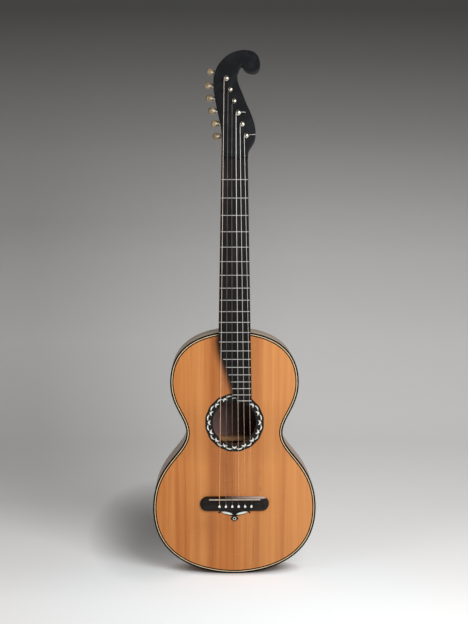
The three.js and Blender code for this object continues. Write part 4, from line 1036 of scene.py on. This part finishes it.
END_RADIUS, END_MIDDLE, BACK_ROUND = 13.45, (49.05, 130.95), 2.6
rings = []
for z in (117.52, 117.8, 118.4, *np.linspace(119.2, 143.6, 62), 144.1, 144.38):
    reach = END_MIDDLE[0] + math.sqrt(max(END_RADIUS**2 - (z - END_MIDDLE[1]) ** 2, 0))
    rounding = BACK_ROUND - math.sqrt(BACK_ROUND**2 - max(0, z - 141.9) ** 2)
    rounding += 0.5 * max(0, 1 - (z - 117.5) / 0.9) ** 2
    top = [(-reach, -0.1, z)]
    for x in reach * np.sin(np.linspace(-math.pi / 2, math.pi / 2, 61)):
        end_round = 0.5 * max(0, 1 - (reach - abs(x)) / 0.8) ** 2
        top.append((x, -bridge_height(x, z) + rounding + end_round, z))
    rings.append([(reach, -0.1, z), *top])
bridge = mesh_of("bridge", *skin(rings), 28)
tools = [slab("saddle slot", [box_loop(-46.6, 46.6, 139.55, 141.3)], -12, -3.9)]
tools += [slab("pin hole", [circle(3.05, 32, (pin_x(i), PIN_ROW))], -12, 3) for i in range(6)]
bridge_wood = finish("bridge_ebony", bridge_look)
piece("bridge_bar", hollowed(bridge, tools), bridge_wood, "ebony", "bridge")


# Saddle: a thin slip of bleached bone that stands in the slot of the bridge. It is rounded on top and
# a little worn under each string.
def pale_bone_look(n):
    fibre = n.noise((60, 900, 900))
    handled = n.noise(90)
    stops = (0.32, 168, 156, 142), (0.55, 204, 195, 182), (0.72, 228, 222, 212)
    base = n.tones(handled * 0.7 + fibre * 0.3, *stops)
    return surface(base, 0.3 + fibre * 0.14, n.bump(fibre, 0.12, 0.0002))


pale_bone = finish("pale_bone", pale_bone_look)
rings = []
for x in np.linspace(-46.5, 46.5, 187):
    worn = sum(0.22 * math.exp(-(((x - pin_x(i)) / 0.7) ** 2)) for i in range(6))
    fall = 0.9 * max(0, (abs(x) - 44.5) / 2) ** 2
    top = -13.4 + worn + fall
    front = [(-4.0, 139.6), (top + 0.8, 139.6), (top + 0.3, 139.75), (top + 0.06, 140.05), (top, 140.4)]
    back = [(top + 0.06, 140.8), (top + 0.3, 141.1), (top + 0.8, 141.25), (-4.0, 141.25)]
    rings.append([(x, y, z) for y, z in front + back])
piece("saddle_slip", mesh_of("saddle", *skin(rings), 50), pale_bone, "bone", "saddle")


# Bridge pins: turned ebony with a domed head and an eye of pearl. A flute along the shank holds the
# string against the wall of its hole.
EYE_TONES = (0.3, 226, 226, 218), (0.6, 252, 250, 244)
GLOSS = {"coat_weight": 0.6, "coat_roughness": 0.06}
eye_pearl = finish("pearl_eye", mottled(300, EYE_TONES, (0.12, 0.1), (0.08, 0.0001), warp=1.0, **GLOSS))
HEAD_RADII, HEAD_LEVELS = (0, 1.2, 2.2, 3.1, 3.7), (-9.7, -9.7, -9.6, -9.1, -8.3)
PIN_LINE = [(2.2, 8.7), (2.6, -6.3), (3.5, -6.3), (3.85, -6.7), (3.9, -7.4)]
PIN_LINE += list(zip(HEAD_RADII, HEAD_LEVELS))[:0:-1]
# The eye is a pearl dot drawn out upwards into a drop: its upward tail is a painted highlight on the domed
# head.
drop = through([(0, -2.6), (1.5, -2.05), (2.15, -0.7), (1.9, 0.6), (0.9, 2.1), (0, 3.5)], 4)
drop = np.vstack([drop, (drop * (-1, 1))[-2:0:-1]])
eye_rings = []
for share, lift in ((1, 0.5), (1, -0.04), (0.9, -0.12), (0.6, -0.16), (0.25, -0.17)):
    levels = [np.interp(math.hypot(x, z) * share, HEAD_RADII, HEAD_LEVELS) + lift for x, z in drop]
    eye_rings.append([(x * share, level, z * share) for (x, z), level in zip(drop, levels)])
for i in range(6):
    place = Matrix.Translation((pin_x(i), 0, PIN_ROW))
    flute = slab("flute", [box_loop(-0.8, 0.8, 1.2, 6)], -6.3, 12, place=place)
    pin = hollowed(turned("pin", PIN_LINE, place, 36, 40), [flute])
    piece(f"pin_{i + 1}", pin, ebony, "ebony", f"bridge_pin_{i + 1}")
    piece(f"pin_eye_{i + 1}", mesh_of("eye", *skin(eye_rings), 50, place), eye_pearl, "pearl")


# Ornament under the bridge: ebony sawn to a point between two leaves, with a small flower below. The
# leaves and the ring of the flower are pearl.
side_line = [(0.84, 0), (0.93, -0.06), (1, -0.18), (0.97, -0.26), (0.86, -0.14), (0.64, -0.29), (0.4, -0.4)]
side_line += [(0.14, -0.5), (0.2, -0.62), (0.24, -0.76), (0.14, -0.88), (0, -1)]
side_line = through([(29 * x, 117.4 + 20 * z) for x, z in side_line], 4)
ornament_line = np.vstack([side_line, (side_line * (-1, 1))[-2::-1]])
ornament = slab("ornament", [ornament_line], -1.1, -0.1, 0.2, 2)
piece("ornament_plate", ornament, ebony, "ebony", "bridge_ornament")
leaf_top = through([(2.8, 110.4), (6.5, 112.9), (12.5, 115.0), (18.5, 115.9), (24.6, 115.7)], 5)
leaf_foot = through([(24.6, 115.7), (19.5, 113.0), (13.5, 111.2), (7.5, 110.2), (2.8, 110.4)], 5)
leaf = np.vstack([leaf_top, leaf_foot[1:-1]])
leaves = [slab("leaf", [leaf * (side, 1)], -1.17, -0.7, 0.04, 1) for side in (-1, 1)]
flower = slab("flower", [circle(3.0, 40, (0, 102.9)), circle(2.0, 30, (0, 102.9))], -1.17, -0.7, 0.04, 1)
piece("ornament_pearl", together("pearl", *leaves, flower), pearl, "pearl")


# Strings: three of gut, and three of silk wound with silver wire. Each runs from its pin over the
# saddle and the nut to its post, and two and a half times round it.
def make_string(n, given):
    path = n.add("GeometryNodeMeshToCurve", {}, {0: given})
    run = n.add("GeometryNodeSplineParameter").output("Length")
    kind = {"data_type": "FLOAT", "domain": "POINT"}
    path = n.add("GeometryNodeStoreNamedAttribute", kind, {0: path, 2: "run", 3: run})
    section = n.add("GeometryNodeCurvePrimitiveCircle", {}, {0: 12, 4: given.output("Radius")})
    return n.add("GeometryNodeCurveToMesh", {}, {0: path, 1: section, 3: True})


COIL_TURNS, COIL_STEPS, WINDING = 2.5, 24, 22000.0


def string_path(i):
    """From the body up the pin and over the bridge, the saddle and the nut, then round the post."""
    r = STRING_SIZES[i] / 2
    x, hold = pin_x(i), 129.3
    on_saddle, on_nut, saddle_back = -(13.5 + r), -(9.7 + r), 141.3
    points = [(x, 5.6, hold), (x, -6.0 + r, hold)]
    points += [(x, -6.15 - 0.6 * r, hold + 0.4 * r), (x, -6.2 - r, hold + 1.4 * r)]
    points += [(x, on_saddle + 0.35, 138.8), (x, on_saddle + 0.08, 139.4), (x, on_saddle, 140.2)]
    points.append((x, on_saddle + 0.02, 141.2))
    for t in np.linspace(0, 1, 40)[1:]:
        across, level = x + (nut_x(i) - x) * t, on_saddle + (on_nut - on_saddle) * t
        points.append((across, level, saddle_back + (NUT - saddle_back) * t))
    points += [(nut_x(i), on_nut, 752.0), (nut_x(i), on_nut + 0.08, 754.4)]
    centre_x, centre = post_place(i)
    coil = 3.4 + r
    for k in range(int(COIL_TURNS * COIL_STEPS) + 1):
        turn = k / COIL_STEPS
        a, rise = math.pi - 2 * math.pi * turn, -8.2 + (2 * r + 0.55) * turn
        spot = Vector((centre_x + coil * math.cos(a), rise, centre + coil * math.sin(a)))
        points.append(tuple(HEAD_PLACE @ spot))
    return points


def string_look(low, high, metal, rough, wound, top_colour_shown, clear=False):
    """Gut or wound silver, painted near the bridge in the lit spruce's colour, which shows in the string
    there; see-through there too if clear.
    """
    def look(n):
        run = n.add("ShaderNodeAttribute", {"attribute_name": "run"}, {}, "Fac")
        fine = n.noise((300, 300, 60))
        base = n.tones(fine, (0.3, *low), (0.7, *high))
        coil = run.math("SINE", run * WINDING) if wound else n.noise((900, 900, 200), 2, 0.5)
        return surface(
            # Painted reflection: near the bridge the string takes the lit spruce's colour, which in gut
            # also shows through it.
            (((0.3 - run) * 5).clamped() * top_colour_shown).mix(base, tone(240, 174, 118)),
            rough + fine * 0.12,
            n.bump(coil, 0.35 if wound else 0.08, 0.0001),
            metallic=metal, coat_weight=0.0 if wound else 0.5, coat_roughness=0.1,
            alpha=(run * 1.5 + 0.06).clamped() if clear else 1.0,
        )

    return look


GUT_TONES = (244, 242, 236), (255, 254, 250)
SILVER_TONES, DULL_TONES = ((196, 182, 170), (232, 219, 208)), ((92, 86, 82), (142, 134, 128))
gut = finish("gut", string_look(*GUT_TONES, 0.0, 0.22, False, 0.5, clear=True))
silver_low = finish("silver_winding", string_look(*SILVER_TONES, 0.3, 0.32, True, 0.8))
silver_thin = finish("silver_winding_dull", string_look(*DULL_TONES, 0.3, 0.36, True, 0.0))
one_string = shape("string", make_string, Radius="Float")
for i, wire in enumerate((silver_low, silver_thin, silver_thin, gut, gut, gut)):
    radius = STRING_SIZES[i] / 2000
    made = shaped(f"string {i + 1}", path_of(string_path(i)), one_string, 60, Radius=radius, Finish=wire)
    piece(f"drawn_string_{i + 1}", made, wire, "silver_wire" if i < 3 else "gut", f"string_{i + 1}")


# Loose ends of the two gut strings that were cut long. Each passes through the hole of its post and
# sticks out to one side, so it turns with the post.
gut_end = finish("gut_end", string_look(*GUT_TONES, 0.0, 0.22, False, 0.0))
for i, length in ((3, 9.5), (5, 13.0)):
    line = [(0, -2.9, 0), (3.3, -3.0, 0.2), (5.0, -5.0, 0.9), (7.4, -6.2, 0.9), (3.6 + length, -6.3, 0.4)]
    path = path_of([tuple(tuner_place(i) @ Vector(p)) for p in through(line, 5)])
    made = shaped("end", path, one_string, 60, Radius=STRING_SIZES[i] / 2400, Finish=gut_end)
    piece(f"loose_end_{i + 1}", made, gut_end, "gut", body=f"post_{i + 1}")


# Floor and wall: one sheet of white paper that curves up behind. To the eye and in a gloss it glows
# with painted light, most at the front and on the right, but not in the painted shadows behind the guitar
# and where it stands. Its top and the left of the wall are painted darker as shade, near the guitar it is
# painted bluer against the warm light the guitar bounces on it, and it shows from its front only.
def paper_look(n):
    side, back, up = n.spot()
    run = back + up
    lean = ((side / (back + 2.19) + 0.154) / 0.216).clamped()
    grain = n.noise(40)

    def grey(share, warm=1.0, warmer=1.0):
        return share, share * warm, share * warmer, 1.0

    def patch(x, wide, y, deep):
        return (1 - ((side - x) / wide) ** 2 - ((back - y) / deep) ** 2).clamped()

    def levels(start, stops, *warmth):
        """Greys by the way along the sheet, in metres from a start in front of the guitar."""
        stops = [((at + start) / SHEET_RUN, grey(share, *warmth)) for at, share in stops]
        return n.ramp((run + start) / SHEET_RUN, *stops)

    # Painted shade: the paper is painted darker up the wall towards its top.
    tint = levels(0.0, PAPER_TINT, 0.99, 0.975)
    # Painted shade: darker on the left of the wall, about halfway up, with a little of the paper's own
    # grain.
    left_shade_and_grain = (1 - lean) * run.near(2.65, 0.65) * 0.24 + (grain - 0.5) * 0.03
    tint = left_shade_and_grain.clamped().mix(tint, grey(0.0))
    # Painted light: the glow is seen only by the eye and in gloss, and is brighter on the right and at the
    # front.
    sides = {0: 1.0, 6: levels(0.5, GLOW_RIGHT), 7: lean.mix(levels(0.5, GLOW_LEFT), grey(1.0))}
    glow = n.add("ShaderNodeMix", {"data_type": "RGBA", "blend_type": "MULTIPLY"}, sides, 2)
    # Painted shadows: the glow is taken out behind the guitar on its left and where it stands, and the
    # paper is painted darker where it stands.
    behind = patch(-0.15, 0.15, 0.35, 0.42)
    contact_shadow = patch(0.0, 0.13, 0.035, 0.055)
    # Painted against bounced light: near the guitar the paper is painted bluer, to cancel the warm light
    # the guitar throws on it.
    bounce_cancel = patch(0.0, 0.42, -0.12, 0.36) * (1 - contact_shadow).clamped()
    glow = behind.mix(glow, grey(0.0))
    glow = (contact_shadow * 1.6).clamped().mix(glow, grey(0.0))
    tint = (contact_shadow * 0.9).clamped().mix(tint, grey(0.3))
    tint = bounce_cancel.mix(tint, (0.9, 0.965, 1.0, 1.0))
    rays = n.add("ShaderNodeLightPath", {}, {}, "Is Camera Ray")
    seen = (rays + rays.output("Is Glossy Ray") + rays.output("Is Transmission Ray")).clamped()
    return {
        "Base Color": tint,
        "Roughness": 0.9,
        "Specular IOR Level": 0.1,
        "Emission Color": (1 - seen).mix(glow, grey(0.0)),
        "Emission Strength": 1.0,
        "Alpha": 1 - n.add("ShaderNodeNewGeometry", {}, {}, "Backfacing"),
    }


SHEET_RUN, SHEET_HALF, SHEET_FRONT, WALL_TOP = 4.0, 4, -2.5, 4.0
BEND_FOOT, BEND_RADIUS = 1.2, 0.9
# Painted shade: the paper's grey along the sheet, darker up the wall.
PAPER_TINT = [(2.0, 0.9), (2.25, 0.88), (2.48, 0.86), (2.7, 0.76), (2.92, 0.6)]
PAPER_TINT += [(3.09, 0.43), (3.26, 0.275), (3.42, 0.165)]
# Painted light: how strongly the paper glows along the sheet, on the right and on the left.
GLOW_RIGHT = [(-0.15, 0.36), (0.05, 0.34), (0.22, 0.33), (0.55, 0.3), (1.2, 0.27), (1.5, 0.25), (2.0, 0.19)]
GLOW_RIGHT += [(2.25, 0.14), (2.5, 0.09), (2.75, 0.04), (3.0, 0.0)]
GLOW_LEFT = [(-0.15, 0.88), (0.05, 0.72), (0.22, 0.68), (0.55, 0.42), (0.87, 0.34)]
GLOW_LEFT += [(1.2, 0.34), (1.5, 0.3), (2.2, 0.36)]
paper = finish("paper", paper_look)
bend = [(SHEET_FRONT, 0.0), (BEND_FOOT, 0.0)]
for a in np.linspace(0, math.pi / 2, 25)[1:]:
    bend.append((BEND_FOOT + BEND_RADIUS * math.sin(a), BEND_RADIUS - BEND_RADIUS * math.cos(a)))
bend.append((BEND_FOOT + BEND_RADIUS, WALL_TOP))
corners = [(x, y, z) for y, z in bend for x in (-SHEET_HALF, SHEET_HALF)]
sheet = bpy.data.meshes.new("paper")
sheet.from_pydata(corners, [], [(k, k + 1, k + 3, k + 2) for k in range(0, len(corners) - 2, 2)])
for face in sheet.polygons:
    face.use_smooth = True
sheet.materials.append(paper)
backdrop = placed("paper", sheet)


# Light: a large soft lamp at the right, high up, and a weak one at the left, in an even room that
# fills the shadows a little.
def lamp(name, place, aim, width, power):
    light = bpy.data.lights.new(name, "AREA")
    light.shape, light.size, light.size_y, light.energy = "RECTANGLE", width, width * 1.3, power
    made = placed(name, light)
    made.visible_camera = False
    made.matrix_world = aimed(place, Vector(aim) - Vector(place))


lamp("key", place=(0.62, -1.15, 0.95), aim=(0, 0, 0.25), width=0.8, power=17)
lamp("fill", place=(-2.0, -1.6, 1.2), aim=(0, 0, 0.4), width=1.2, power=9)
room = bpy.data.worlds.new("room")
room.use_nodes = True
colour, strength = room.node_tree.nodes["Background"].inputs[:2]
colour.default_value, strength.default_value = (1.0, 0.99, 0.97, 1), 0.15
bpy.context.scene.world = room
